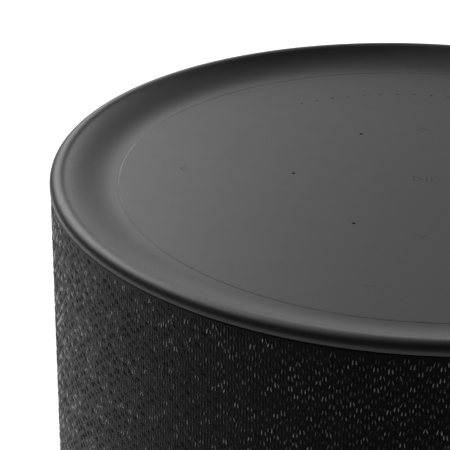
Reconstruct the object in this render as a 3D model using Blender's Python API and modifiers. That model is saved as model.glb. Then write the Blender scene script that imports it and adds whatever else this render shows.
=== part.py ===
"""A smart home hub: a fabric-covered cylindrical loudspeaker with a dished touch top.

The hub stands on the plane z = 0 with its axis on +Z and its front towards -Y.
From the bottom up it is a rubber foot, a base tray with the mains inlet and the two rear
controls, an electronics bay, a six-sided loudspeaker cabinet with three side drivers and
an upward woofer, and the top frame with the touch panel and its rim.
Every length is in metres.
"""

import math
from dataclasses import dataclass

import bmesh
import bpy
from mathutils import Matrix, Vector

MM = 0.001
FULL_TURN = 2 * math.pi

# Overall size and the clearance between pieces that touch
BODY_RADIUS = 88.0 * MM
BODY_HEIGHT = 200.0 * MM
GAP = 0.3 * MM

# Side wall: the fabric over its slotted tube
FABRIC_THICKNESS = 1.1 * MM
GRILLE_WALL = 2.4 * MM
GRILLE_END_BAND = 9.0 * MM
GRILLE_CROSS_BAND = 7.0 * MM
GRILLE_COLUMNS = 48
GRILLE_WINDOW_ROWS = 2

# Base tray and foot
SKIRT_HEIGHT = 20.0 * MM
SKIRT_SET_BACK = 0.6 * MM
SKIRT_WALL = 2.6 * MM
SKIRT_CHAMFER = 2.0 * MM
BASE_UNDERSIDE = 1.5 * MM
BASE_FLOOR = 4.0 * MM
BASE_LIP_WALL = 2.3 * MM
BASE_LIP_RISE = 6.0 * MM
BASE_FLANGE = 2.4 * MM
FOOT_HEIGHT = 3.0 * MM
FOOT_WIDTH = 12.0 * MM
FOOT_SET_BACK = 8.0 * MM

# Mains inlet, a figure-eight socket
INLET_WIDTH = 20.0 * MM
INLET_MARGIN = 1.0 * MM
INLET_DEPTH = 18.0 * MM
INLET_SET_BACK = 0.8 * MM
SOCKET_WIDTH = 16.0 * MM
SOCKET_WALL = 1.0 * MM
SOCKET_DEPTH = 12.0 * MM
PIN_RADIUS = 1.15 * MM
PIN_SPACING = 8.6 * MM
PIN_TAIL = 2.5 * MM
PIN_SET_BACK = 3.0 * MM

# Rear controls, each facing straight out from the axis
CONTROL_ANGLE = math.radians(15)
BUTTON_RADIUS = 2.5 * MM
BUTTON_PROUD = 0.5 * MM
BUTTON_TRAVEL = 0.8 * MM
BUTTON_COLLAR = 1.1 * MM
BUTTON_COLLAR_THICKNESS = 1.5 * MM
BUTTON_LENGTH = 8.0 * MM
KNOB_WIDTH = 4.0 * MM
KNOB_HEIGHT = 3.0 * MM
KNOB_PROUD = 0.4 * MM
SLIDER_TRAVEL = 2.5 * MM
SLIDER_PLATE_WIDTH = 13.0 * MM
SLIDER_PLATE_HEIGHT = 6.0 * MM
SLIDER_PLATE_THICKNESS = 1.2 * MM
CONTROL_BOARD_THICKNESS = 1.6 * MM
SWITCH_WIDTH = 6.0 * MM
SWITCH_HEIGHT = 5.0 * MM

# Electronics bay
BOARD_THICKNESS = 1.6 * MM
POWER_BOARD_RISE = 6.0 * MM
POWER_BOARD_HALF_DEPTH = 28.0 * MM
MAIN_BOARD_HALF_DEPTH = 32.0 * MM
MAIN_BOARD_DROP = 9.5 * MM
BOARD_POST_RADIUS = 3.0 * MM
BOARD_POST_INSET = 5.0 * MM
BAY_CEILING = 44.0 * MM
TRANSFORMER_LENGTH = 26.0 * MM
TRANSFORMER_WIDTH = 22.0 * MM
TRANSFORMER_HEADROOM = 2.0 * MM
CAPACITOR_RADIUS = 8.0 * MM
CAPACITOR_HEADROOM = 3.5 * MM
SHIELD_CAN = Vector((34.0, 30.0, 3.0)) * MM
HEAT_SINK_DEPTH = 22.0 * MM
HEAT_SINK_HEIGHT = 9.5 * MM
HEAT_SINK_TO_MIDDLE = 5.0 * MM
HEAT_SINK_BASE = 2.5 * MM
HEAT_SINK_FINS = 6
FIN_THICKNESS = 1.6 * MM
ANTENNA = Vector((26.0, 0.8, 60.0)) * MM

# Loudspeaker cabinet
CABINET_CLEARANCE = 12.6 * MM
CABINET_WALL = 2.5 * MM
LID_THICKNESS = 3.0 * MM
LID_DROP = 40.0 * MM
LEG_RADIUS = 5.0 * MM
LEG_INSET = 11.6 * MM
WOOFER_MARGIN = 6.0 * MM
SIDE_DRIVER_MARGIN = 7.8 * MM
SIDE_DRIVER_RISE = 4.0 * MM
SIDE_DRIVER_ANGLES = (math.radians(-90), math.radians(30), math.radians(150))
ANTENNA_ANGLES = {"antenna_left": math.radians(210), "antenna_right": math.radians(330)}

# Screws
SCREW_RADIUS = 1.5 * MM
SCREW_HEAD_RADIUS = 2.9 * MM
SCREW_HEAD_HEIGHT = 1.8 * MM
SCREW_BITE = 10.0 * MM
RIM_SCREW_BITE = 5.0 * MM

# Top: rim, panel and what lies under it
RIM_WIDTH = 16.0 * MM
RIM_BAND = 2.4 * MM
RIM_CREST = 2.3 * MM
RIM_FLAT = 0.5 * MM
RIM_ROOT_WIDTH = 6.0 * MM
RIM_SLOPE_PIECES = 5
DISH_DEPTH = 3.6 * MM
PANEL_THICKNESS = 2.0 * MM
TRIM_WIDTH = 0.5 * MM
RIM_EDGE_THICKNESS = 2.5 * MM
LEDGE_WIDTH = 4.6 * MM
FRAME_DROP = 14.0 * MM
FRAME_FLOOR = 2.5 * MM
FRAME_WALL = 2.5 * MM
FRAME_LEG_RADIUS = 4.0 * MM
FRAME_LEG_INSET = 7.6 * MM
PANEL_TO_BOARD = 2.4 * MM
TOUCH_BOARD_INSET = 8.0 * MM
BOARD_SHELF_WIDTH = 3.0 * MM
MICROPHONES = 6
MIC_RING_RADIUS = 30.6 * MM
MIC_HOLE_RADIUS = 0.42 * MM
MIC_PORT_RADIUS = 0.6 * MM
MIC_GASKET_WIDTH = 5.0 * MM
MICROPHONE = Vector((3.5, 2.65, 1.0)) * MM
LIGHTS = 16
LIGHT_PITCH = math.radians(4.61)
LIGHT_RING_INSET = 16.7 * MM
LIGHT_RADIUS = 0.35 * MM
LIGHT_GUIDE_WIDTH = 4.0 * MM

# Flat cable from the main board to the touch board
RIBBON_WIDTH = 16.0 * MM
RIBBON_THICKNESS = 0.4 * MM
RIBBON_STAND_OFF = 3.0 * MM
RIBBON_INSET = 10.7 * MM
RIBBON_BELOW_FRAME = 5.0 * MM
RIBBON_ABOVE_BOARD = 4.5 * MM
RIBBON_SLOT = 2.6 * MM

# Facets around the large rings, the mid-size ones and the small ones
OUTER_STEPS = 48
DRIVER_STEPS = 24
SMALL_DRIVER_STEPS = 16
SCREW_STEPS = 10
HOLE_STEPS = 6

# Radii and heights that several pieces share
fabric_inner = BODY_RADIUS - FABRIC_THICKNESS
grille_outer = fabric_inner - GAP
grille_inner = grille_outer - GRILLE_WALL
skirt_outer = BODY_RADIUS - SKIRT_SET_BACK
skirt_inner = skirt_outer - SKIRT_WALL
base_floor_top = BASE_UNDERSIDE + BASE_FLOOR
flange_bottom = SKIRT_HEIGHT - BASE_FLANGE
rear_height = (base_floor_top + flange_bottom) / 2
inlet_height = flange_bottom - base_floor_top - 2 * INLET_MARGIN
socket_height = inlet_height - 2 * SOCKET_WALL
foot_outer = BODY_RADIUS - FOOT_SET_BACK
foot_inner = foot_outer - FOOT_WIDTH

seam_radius = BODY_RADIUS - RIM_WIDTH
panel_radius = seam_radius - TRIM_WIDTH / 2 - GAP
rim_inner = seam_radius + TRIM_WIDTH / 2 + GAP
panel_top = BODY_HEIGHT - DISH_DEPTH
panel_bottom = panel_top - PANEL_THICKNESS
ledge_top = panel_bottom - GAP
ledge_outer = rim_inner + GAP
ledge_inner = ledge_outer - LEDGE_WIDTH
rim_bottom = BODY_HEIGHT - RIM_BAND
rim_underside = panel_top - RIM_EDGE_THICKNESS
fabric_top = rim_bottom - GAP
grille_top = rim_underside - GAP
frame_bottom = BODY_HEIGHT - FRAME_DROP
frame_floor_top = frame_bottom + FRAME_FLOOR
frame_outer = grille_inner - GAP
rim_root_inner = ledge_outer + GAP
rim_root_outer = rim_root_inner + RIM_ROOT_WIDTH
rim_root_bottom = frame_floor_top + GAP
board_top = panel_bottom - PANEL_TO_BOARD
board_bottom = board_top - BOARD_THICKNESS
touch_board_radius = seam_radius - TOUCH_BOARD_INSET
shelf_outer = touch_board_radius - GAP
shelf_inner = shelf_outer - BOARD_SHELF_WIDTH
ribbon_end = shelf_inner - RIBBON_INSET
light_ring_radius = seam_radius - LIGHT_RING_INSET

cabinet_corner = grille_inner - CABINET_CLEARANCE
cabinet_face = cabinet_corner * math.cos(math.pi / 6)
lid_top = BODY_HEIGHT - LID_DROP
lid_bottom = lid_top - LID_THICKNESS
cabinet_top = lid_bottom - GAP
leg_ring = cabinet_corner - LEG_INSET
frame_leg_ring = cabinet_corner - FRAME_LEG_INSET

power_board_bottom = base_floor_top + POWER_BOARD_RISE
power_board_top = power_board_bottom + BOARD_THICKNESS
main_board_top = BAY_CEILING - MAIN_BOARD_DROP
main_board_bottom = main_board_top - BOARD_THICKNESS
component_stand = power_board_top + GAP
transformer_height = main_board_bottom - component_stand - TRANSFORMER_HEADROOM
capacitor_height = main_board_bottom - component_stand - CAPACITOR_HEADROOM
board_half_length = leg_ring - 3 * LEG_RADIUS
heat_sink_width = board_half_length - HEAT_SINK_TO_MIDDLE


def ring_of(count, radius, start=0.0):
    """Evenly spaced (x, y) places on a circle about the axis."""
    angles = [start + i * FULL_TURN / count for i in range(count)]
    return [(radius * math.cos(a), radius * math.sin(a)) for a in angles]


leg_places = ring_of(3, leg_ring)
frame_leg_places = ring_of(3, frame_leg_ring)
rim_screw_places = ring_of(3, (rim_root_inner + rim_root_outer) / 2, FULL_TURN / 6)
mic_places = ring_of(MICROPHONES, MIC_RING_RADIUS)


@dataclass
class Driver:
    """A loudspeaker in its own frame: +Z is the way it faces, and z = 0 is the back of its flange."""

    flange_radius: float
    flange_thickness: float
    seat_width: float
    basket_depth: float
    basket_wall: float
    floor_radius: float
    motor_radius: float
    motor_depth: float
    coil_radius: float
    coil_length: float
    cone_depth: float
    cone_thickness: float
    roll_width: float
    roll_height: float
    travel: float
    steps: int

    @property
    def seat_radius(self):
        """Where the surround's outer lip ends, inside the flange's raised edge."""
        return self.flange_radius - self.seat_width

    @property
    def mouth_radius(self):
        return self.seat_radius - self.seat_width * 0.7

    @property
    def opening_radius(self):
        """The hole that the basket needs in the wall behind the flange."""
        return self.mouth_radius + self.basket_wall + GAP

    @property
    def seat_height(self):
        return self.flange_thickness * 0.4

    @property
    def cone_radius(self):
        return self.mouth_radius - self.roll_width * 0.75

    @property
    def coil_inner(self):
        return self.coil_radius - 0.5 * MM

    @property
    def coil_outer(self):
        return self.coil_radius + 0.5 * MM

    @property
    def coil_top(self):
        return -self.cone_depth + 2.0 * MM


woofer = Driver(
    flange_radius=cabinet_face - WOOFER_MARGIN,
    flange_thickness=3.0 * MM,
    seat_width=5.8 * MM,
    basket_depth=36.0 * MM,
    basket_wall=1.5 * MM,
    floor_radius=31.5 * MM,
    motor_radius=28.0 * MM,
    motor_depth=18.0 * MM,
    coil_radius=12.7 * MM,
    coil_length=22.0 * MM,
    cone_depth=26.0 * MM,
    cone_thickness=0.8 * MM,
    roll_width=7.0 * MM,
    roll_height=3.4 * MM,
    travel=4.0 * MM,
    steps=DRIVER_STEPS,
)
side_driver = Driver(
    flange_radius=cabinet_corner / 2 - SIDE_DRIVER_MARGIN,
    flange_thickness=2.5 * MM,
    seat_width=3.4 * MM,
    basket_depth=13.0 * MM,
    basket_wall=1.0 * MM,
    floor_radius=14.5 * MM,
    motor_radius=13.0 * MM,
    motor_depth=12.0 * MM,
    coil_radius=6.1 * MM,
    coil_length=9.0 * MM,
    cone_depth=7.0 * MM,
    cone_thickness=0.7 * MM,
    roll_width=4.0 * MM,
    roll_height=1.8 * MM,
    travel=1.5 * MM,
    steps=SMALL_DRIVER_STEPS,
)
side_driver_height = BAY_CEILING + side_driver.flange_radius + SIDE_DRIVER_RISE


# ---------------------------------------------------------------- scene and materials


def cleared_scene():
    for obj in list(bpy.data.objects):
        bpy.data.objects.remove(obj, do_unlink=True)


def new_collection(name):
    collection = bpy.data.collections.new(name)
    bpy.context.scene.collection.children.link(collection)
    return collection


def new_material(name, color, roughness, metallic=0.0):
    material = bpy.data.materials.new(name)
    material.use_nodes = True
    material.diffuse_color = (*color, 1.0)
    shader = material.node_tree.nodes["Principled BSDF"]
    shader.inputs["Base Color"].default_value = (*color, 1.0)
    shader.inputs["Roughness"].default_value = roughness
    shader.inputs["Metallic"].default_value = metallic
    return material


cleared_scene()
HUB = new_collection("smart_home_hub")
TOOLS = new_collection("cutters")

RIM_GREY = new_material("rim_grey", (0.10, 0.10, 0.10), 0.42)
PANEL_GREY = new_material("panel_grey", (0.12, 0.12, 0.12), 0.38)
TRIM_GREY = new_material("trim_grey", (0.22, 0.22, 0.22), 0.35)
KNIT = new_material("dark_knit", (0.03, 0.03, 0.03), 0.9)
BLACK_PLASTIC = new_material("black_plastic", (0.02, 0.02, 0.02), 0.5)
RUBBER = new_material("rubber", (0.015, 0.015, 0.015), 0.85)
STEEL = new_material("steel", (0.5, 0.5, 0.5), 0.35, 1.0)
BRASS = new_material("brass", (0.7, 0.55, 0.25), 0.3, 1.0)
ALUMINIUM = new_material("aluminium", (0.7, 0.7, 0.72), 0.4, 1.0)
CIRCUIT_GREEN = new_material("circuit_green", (0.02, 0.12, 0.05), 0.5)
CONE_PAPER = new_material("cone_paper", (0.04, 0.04, 0.04), 0.8)
SPIDER_CLOTH = new_material("spider_cloth", (0.45, 0.3, 0.12), 0.9)
CLEAR_PLASTIC = new_material("clear_plastic", (0.8, 0.8, 0.8), 0.3)
RIBBON_FILM = new_material("ribbon_film", (0.35, 0.2, 0.06), 0.5)


def add_object(name, mesh, material, parent=None):
    """Puts a mesh in the hub's collection, or among the cutters when it has no material."""
    obj = bpy.data.objects.new(name, mesh)
    obj.parent = parent
    if material:
        mesh.materials.append(material)
        HUB.objects.link(obj)
        return obj
    TOOLS.objects.link(obj)
    obj.hide_render = True
    obj.display_type = "WIRE"
    return obj


def add_empty(name, matrix):
    empty = bpy.data.objects.new(name, None)
    empty.empty_display_size = 10 * MM
    empty.matrix_world = matrix
    HUB.objects.link(empty)
    return empty


def applied(obj):
    """Turns an object's modifiers, or its curve, into a plain mesh with its round faces smooth."""
    graph = bpy.context.evaluated_depsgraph_get()
    mesh = bpy.data.meshes.new_from_object(obj.evaluated_get(graph))
    work = bmesh.new()
    work.from_mesh(mesh)
    bmesh.ops.remove_doubles(work, verts=work.verts, dist=0.01 * MM)
    work.to_mesh(mesh)
    work.free()
    mesh.shade_smooth()
    mesh.set_sharp_from_angle(angle=math.radians(30))
    return mesh


# ---------------------------------------------------------------- shapes


def turned_mesh(name, profile, steps, closed):
    """The mesh of a profile of (radius, height) points turned about Z."""
    mesh = bpy.data.meshes.new(name + "_profile")
    edges = [(i, i + 1) for i in range(len(profile) - 1)]
    if closed:
        edges.append((len(profile) - 1, 0))
    mesh.from_pydata([(r, 0, z) for r, z in profile], edges, [])
    outline = bpy.data.objects.new(name + "_profile", mesh)
    TOOLS.objects.link(outline)
    screw = outline.modifiers.new("Screw", "SCREW")
    screw.angle = FULL_TURN
    screw.steps = steps
    screw.render_steps = steps
    screw.use_merge_vertices = True
    screw.merge_threshold = 0.01 * MM
    solid = applied(outline)
    bpy.data.objects.remove(outline)
    return solid


def turned(name, profile, steps, material, parent=None):
    """A turned solid, whose points go out along the top, down the outer side and back in underneath.

    A profile that starts on the axis also ends there, and any other is a closed ring.
    """
    mesh = turned_mesh(name, profile, steps, closed=profile[0][0] > 0)
    return add_object(name, mesh, material, parent)


def tube_profile(inner, outer, bottom, top):
    return [(inner, top), (outer, top), (outer, bottom), (inner, bottom)]


def disc_profile(radius, bottom, top):
    return [(0, top), (radius, top), (radius, bottom), (0, bottom)]


def cylinders(name, places, radius, bottom, top, sides, material=None, parent=None):
    """One mesh of upright cylinders, one at each (x, y) place."""
    work = bmesh.new()
    for x, y in places:
        bmesh.ops.create_cone(
            work,
            cap_ends=True,
            segments=sides,
            radius1=radius,
            radius2=radius,
            depth=top - bottom,
            matrix=Matrix.Translation((x, y, (bottom + top) / 2)),
        )
    mesh = bpy.data.meshes.new(name)
    work.to_mesh(mesh)
    work.free()
    return add_object(name, mesh, material, parent)


def boxes(name, places, size, material=None, parent=None, bevel=0.0):
    """One mesh of equal boxes, one centred on each place, with their edges bevelled if asked."""
    work = bmesh.new()
    for place in places:
        bmesh.ops.create_cube(work, size=1, matrix=Matrix.Translation(place) @ Matrix.Diagonal((*size, 1)))
    if bevel:
        bmesh.ops.bevel(work, geom=work.edges, offset=bevel, segments=1, affect="EDGES")
    mesh = bpy.data.meshes.new(name)
    work.to_mesh(mesh)
    work.free()
    return add_object(name, mesh, material, parent)


def hexagon(name, corner_radius, bottom, top, material, open_top=False):
    """A six-sided prism with corners on +X, and with flat faces towards the front and the back."""
    work = bmesh.new()
    turn = Matrix.Rotation(FULL_TURN / 12, 4, "Z")
    bmesh.ops.create_cone(
        work,
        cap_ends=True,
        segments=6,
        radius1=corner_radius,
        radius2=corner_radius,
        depth=top - bottom,
        matrix=Matrix.Translation((0, 0, (bottom + top) / 2)) @ turn,
    )
    if open_top:
        lids = [face for face in work.faces if face.normal.z > 0.5]
        bmesh.ops.delete(work, geom=lids, context="FACES")
    mesh = bpy.data.meshes.new(name)
    work.to_mesh(mesh)
    work.free()
    return add_object(name, mesh, material)


def plate(name, outline, thickness, material, matrix, parent=None):
    """A flat closed outline of (x, y) points, filled and thickened evenly about its own plane."""
    curve = bpy.data.curves.new(name, "CURVE")
    curve.dimensions = "2D"
    curve.fill_mode = "BOTH"
    curve.extrude = thickness / 2
    spline = curve.splines.new("POLY")
    spline.points.add(len(outline) - 1)
    for point, (x, y) in zip(spline.points, outline):
        point.co = (x, y, 0, 1)
    spline.use_cyclic_u = True
    flat = bpy.data.objects.new(name + "_outline", curve)
    TOOLS.objects.link(flat)
    solid = applied(flat)
    bpy.data.objects.remove(flat)
    solid.transform(matrix)
    return add_object(name, solid, material, parent)


def boolean(target, other, operation):
    modifier = target.modifiers.new(other.name, "BOOLEAN")
    modifier.operation = operation
    modifier.object = other
    modifier.solver = "EXACT"


def cut(target, *others):
    for other in others:
        boolean(target, other, "DIFFERENCE")


def join(target, *others):
    for other in others:
        boolean(target, other, "UNION")


def outward(angle, distance=0.0, height=0.0):
    """The frame of a piece on the side wall: its +Z faces out at this angle, and its +Y is up."""
    place = Matrix.Translation((distance * math.cos(angle), distance * math.sin(angle), height))
    return place @ Matrix.Rotation(angle + FULL_TURN / 4, 4, "Z") @ Matrix.Rotation(FULL_TURN / 4, 4, "X")


def arc_points(radius, start, end, pieces):
    angles = [start + (end - start) * i / pieces for i in range(pieces + 1)]
    return [(radius * math.cos(a), radius * math.sin(a)) for a in angles]


# ---------------------------------------------------------------- base


def make_foot():
    turned("foot_pad", tube_profile(foot_inner, foot_outer, 0, FOOT_HEIGHT), OUTER_STEPS, RUBBER)


def make_base_shell():
    lip_outer = grille_inner - GAP
    lip_inner = lip_outer - BASE_LIP_WALL
    groove_top = FOOT_HEIGHT + GAP
    profile = [
        (0, base_floor_top),
        (skirt_inner, base_floor_top),
        (skirt_inner, flange_bottom),
        (lip_inner, flange_bottom),
        (lip_inner, SKIRT_HEIGHT + BASE_LIP_RISE),
        (lip_outer, SKIRT_HEIGHT + BASE_LIP_RISE),
        (lip_outer, SKIRT_HEIGHT),
        (skirt_outer, SKIRT_HEIGHT),
        (skirt_outer, BASE_UNDERSIDE + SKIRT_CHAMFER),
        (skirt_outer - SKIRT_CHAMFER, BASE_UNDERSIDE),
        (foot_outer + GAP, BASE_UNDERSIDE),
        (foot_outer + GAP, groove_top),
        (foot_inner - GAP, groove_top),
        (foot_inner - GAP, BASE_UNDERSIDE),
        (0, BASE_UNDERSIDE),
    ]
    shell = turned("base_shell", profile, OUTER_STEPS, BLACK_PLASTIC)

    post_x = board_half_length - BOARD_POST_INSET
    post_y = POWER_BOARD_HALF_DEPTH - BOARD_POST_INSET
    places = [(x, y) for x in (-post_x, post_x) for y in (-post_y, post_y)]
    post_foot = base_floor_top - BASE_FLOOR / 4
    join(shell, cylinders("board_posts", places, BOARD_POST_RADIUS, post_foot, power_board_bottom - GAP, 10))

    recess = BASE_UNDERSIDE + SCREW_HEAD_HEIGHT + GAP
    heads = cylinders("head_recesses", leg_places, SCREW_HEAD_RADIUS + GAP, 0, recess, 16)
    shanks = cylinders("base_screw_holes", leg_places, SCREW_RADIUS + GAP, 0, 2 * base_floor_top, SCREW_STEPS)
    inlet_hole = Vector((INLET_WIDTH + 2 * GAP, 4 * SKIRT_WALL, inlet_height + 2 * GAP))
    inlet = boxes("inlet_hole", [(0, skirt_outer - SKIRT_WALL, rear_height)], inlet_hole)
    button = cylinders("button_hole", [(0, 0)], BUTTON_RADIUS + GAP, -2 * SKIRT_WALL, 2 * SKIRT_WALL, 16)
    button.matrix_world = control_frame(+1)
    slot = Vector((KNOB_WIDTH + SLIDER_TRAVEL + 2 * GAP, KNOB_HEIGHT + 2 * GAP, 4 * SKIRT_WALL))
    slider = boxes("slider_slot", [(-SLIDER_TRAVEL / 2, 0, 0)], slot)
    slider.matrix_world = control_frame(-1)
    cut(shell, heads, shanks, inlet, button, slider)


def make_base_screws():
    """Each screw enters a cabinet leg from below, its head sunk in the base."""
    head_bottom = BASE_UNDERSIDE
    head_top = head_bottom + SCREW_HEAD_HEIGHT
    tip = base_floor_top + GAP + SCREW_BITE
    for number, (x, y) in enumerate(leg_places, 1):
        screw = make_screw(f"base_screw_{number}", head_bottom, head_top, tip)
        screw.location = (x, y, 0)


def make_screw(name, head_bottom, head_top, tip):
    """A pan-head screw that points up."""
    profile = [
        (0, tip),
        (SCREW_RADIUS, tip),
        (SCREW_RADIUS, head_top),
        (SCREW_HEAD_RADIUS, head_top),
        (SCREW_HEAD_RADIUS, head_bottom),
        (0, head_bottom),
    ]
    return turned(name, profile, SCREW_STEPS, STEEL)


def make_power_inlet():
    front = skirt_outer - INLET_SET_BACK
    back = front - INLET_DEPTH
    size = Vector((INLET_WIDTH, INLET_DEPTH, inlet_height))
    socket = boxes("power_inlet", [(0, (front + back) / 2, rear_height)], size, BLACK_PLASTIC)
    recess_size = Vector((SOCKET_WIDTH, 2 * SOCKET_DEPTH, socket_height))
    recess = boxes("socket_recess", [(0, front, rear_height)], recess_size, bevel=1.5 * MM)
    along_y = Matrix.Translation((0, 0, rear_height)) @ Matrix.Rotation(-FULL_TURN / 4, 4, "X")
    pin_places = [(-PIN_SPACING / 2, 0), (PIN_SPACING / 2, 0)]
    passages = cylinders("pin_passages", pin_places, PIN_RADIUS + GAP, back - PIN_TAIL, front, 10)
    passages.matrix_world = along_y
    cut(socket, recess, passages)
    for name, place in zip(("inlet_pin_left", "inlet_pin_right"), pin_places):
        pin = cylinders(name, [place], PIN_RADIUS, back - PIN_TAIL, front - PIN_SET_BACK, 10, BRASS)
        pin.matrix_world = along_y


def control_frame(side):
    """The frame of the button (side +1) or the slider (side -1), on the skirt's outer face."""
    return outward(FULL_TURN / 4 + side * CONTROL_ANGLE, skirt_outer, rear_height)


def make_rear_controls():
    button_axis = add_empty("reset_button_axis", control_frame(+1))
    collar_top = -SKIRT_WALL - 2 * GAP
    profile = [
        (0, BUTTON_PROUD),
        (BUTTON_RADIUS, BUTTON_PROUD),
        (BUTTON_RADIUS, collar_top),
        (BUTTON_RADIUS + BUTTON_COLLAR, collar_top),
        (BUTTON_RADIUS + BUTTON_COLLAR, collar_top - BUTTON_COLLAR_THICKNESS),
        (BUTTON_RADIUS, collar_top - BUTTON_COLLAR_THICKNESS),
        (BUTTON_RADIUS, BUTTON_PROUD - BUTTON_LENGTH),
        (0, BUTTON_PROUD - BUTTON_LENGTH),
    ]
    turned("reset_button", profile, 16, BLACK_PLASTIC, button_axis)

    slider_axis = add_empty("mute_slider_axis", control_frame(-1))
    plate_top = -SKIRT_WALL - 3 * GAP
    plate_size = Vector((SLIDER_PLATE_WIDTH, SLIDER_PLATE_HEIGHT, SLIDER_PLATE_THICKNESS))
    knob_bottom = plate_top - SLIDER_PLATE_THICKNESS / 2
    slider = boxes("mute_slider", [(0, 0, knob_bottom)], plate_size, BLACK_PLASTIC, slider_axis)
    knob_size = Vector((KNOB_WIDTH, KNOB_HEIGHT, KNOB_PROUD - knob_bottom))
    knob = boxes("slider_knob", [(0, 0, (KNOB_PROUD + knob_bottom) / 2)], knob_size, parent=slider_axis)
    join(slider, knob)

    make_control_board(plate_top - SLIDER_PLATE_THICKNESS)


def make_control_board(slider_back):
    """A small board behind both controls, with a switch block facing each of them."""
    button_back = BUTTON_PROUD - BUTTON_LENGTH - BUTTON_TRAVEL
    half_length = skirt_outer * math.sin(CONTROL_ANGLE) + SWITCH_WIDTH
    board_y = skirt_outer * math.cos(CONTROL_ANGLE) - BUTTON_LENGTH - INLET_DEPTH / 2
    inlet_back = skirt_outer - INLET_SET_BACK - INLET_DEPTH
    board_y = min(board_y, inlet_back - PIN_TAIL - 2 * GAP - CONTROL_BOARD_THICKNESS)
    size = Vector((2 * half_length, CONTROL_BOARD_THICKNESS, inlet_height))
    board = boxes("control_board", [(0, board_y, rear_height)], size, CIRCUIT_GREEN)
    reach = skirt_outer - board_y
    switches = (("button_switch", +1, button_back - GAP), ("slide_switch", -1, slider_back - GAP))
    for name, side, front in switches:
        depth = front + reach * math.cos(CONTROL_ANGLE)
        block = boxes(name, [(0, 0, front - depth / 2)], Vector((SWITCH_WIDTH, SWITCH_HEIGHT, depth)))
        block.matrix_world = control_frame(side)
        join(board, block)


# ---------------------------------------------------------------- electronics


def make_power_supply():
    size = Vector((2 * board_half_length, 2 * POWER_BOARD_HALF_DEPTH, BOARD_THICKNESS))
    boxes("power_board", [(0, 0, (power_board_top + power_board_bottom) / 2)], size, CIRCUIT_GREEN)
    block = Vector((TRANSFORMER_LENGTH, TRANSFORMER_WIDTH, transformer_height))
    rear = POWER_BOARD_HALF_DEPTH - TRANSFORMER_WIDTH / 2
    boxes("transformer", [(board_half_length / 3, rear, component_stand + block.z / 2)], block, STEEL)
    beside = (board_half_length - 2 * CAPACITOR_RADIUS, -POWER_BOARD_HALF_DEPTH / 3)
    top = component_stand + capacitor_height
    cylinders("bulk_capacitor", [beside], CAPACITOR_RADIUS, component_stand, top, 16, ALUMINIUM)


def make_main_board():
    size = Vector((2 * board_half_length, 2 * MAIN_BOARD_HALF_DEPTH, BOARD_THICKNESS))
    boxes("main_board", [(0, 0, (main_board_top + main_board_bottom) / 2)], size, CIRCUIT_GREEN)
    boxes("shield_can", [(0, 0, main_board_top + GAP + SHIELD_CAN.z / 2)], SHIELD_CAN, STEEL, bevel=0.5 * MM)


def make_heat_sink():
    """A finned block under the main board's left half, its fins pointing down."""
    spacing = (heat_sink_width - FIN_THICKNESS) / (HEAT_SINK_FINS - 1)
    outline = [(heat_sink_width, 0), (0, 0)]
    for fin in range(HEAT_SINK_FINS):
        start = fin * spacing
        end = start + FIN_THICKNESS
        outline += [(start, -HEAT_SINK_HEIGHT), (end, -HEAT_SINK_HEIGHT)]
        if fin < HEAT_SINK_FINS - 1:
            outline += [(end, -HEAT_SINK_BASE), (start + spacing, -HEAT_SINK_BASE)]
    place = Matrix.Translation(
        (-board_half_length, -MAIN_BOARD_HALF_DEPTH + HEAT_SINK_DEPTH / 2, main_board_bottom - GAP)
    )
    plate("heat_sink", outline, HEAT_SINK_DEPTH, ALUMINIUM, place @ Matrix.Rotation(FULL_TURN / 4, 4, "X"))


def make_antennas():
    for name, angle in ANTENNA_ANGLES.items():
        frame = outward(angle, cabinet_face + GAP + ANTENNA.y / 2, side_driver_height)
        strip = boxes(name, [(0, 0, 0)], Vector((ANTENNA.x, ANTENNA.z, ANTENNA.y)), CIRCUIT_GREEN)
        strip.matrix_world = frame


def make_ribbon():
    """A flat cable, as the side view of its run thickened to the cable's width."""
    rear = cabinet_face + RIBBON_STAND_OFF
    low_end = min(ribbon_end, MAIN_BOARD_HALF_DEPTH - 2 * MM)
    turn_low = main_board_top + RIBBON_ABOVE_BOARD
    turn_high = frame_bottom - RIBBON_BELOW_FRAME
    t = RIBBON_THICKNESS
    outline = [
        (low_end, main_board_top + GAP),
        (low_end + t, main_board_top + GAP),
        (low_end + t, turn_low),
        (rear + t, turn_low),
        (rear + t, turn_high + t),
        (ribbon_end + t, turn_high + t),
        (ribbon_end + t, board_bottom - GAP),
        (ribbon_end, board_bottom - GAP),
        (ribbon_end, turn_high),
        (rear, turn_high),
        (rear, turn_low + t),
        (low_end, turn_low + t),
    ]
    # The outline's x runs to the rear and its y runs up
    stand_up = Matrix(((0, 0, 1, 0), (1, 0, 0, 0), (0, 1, 0, 0), (0, 0, 0, 1)))
    plate("ribbon_cable", outline, RIBBON_WIDTH, RIBBON_FILM, stand_up)


# ---------------------------------------------------------------- loudspeaker cabinet


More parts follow.
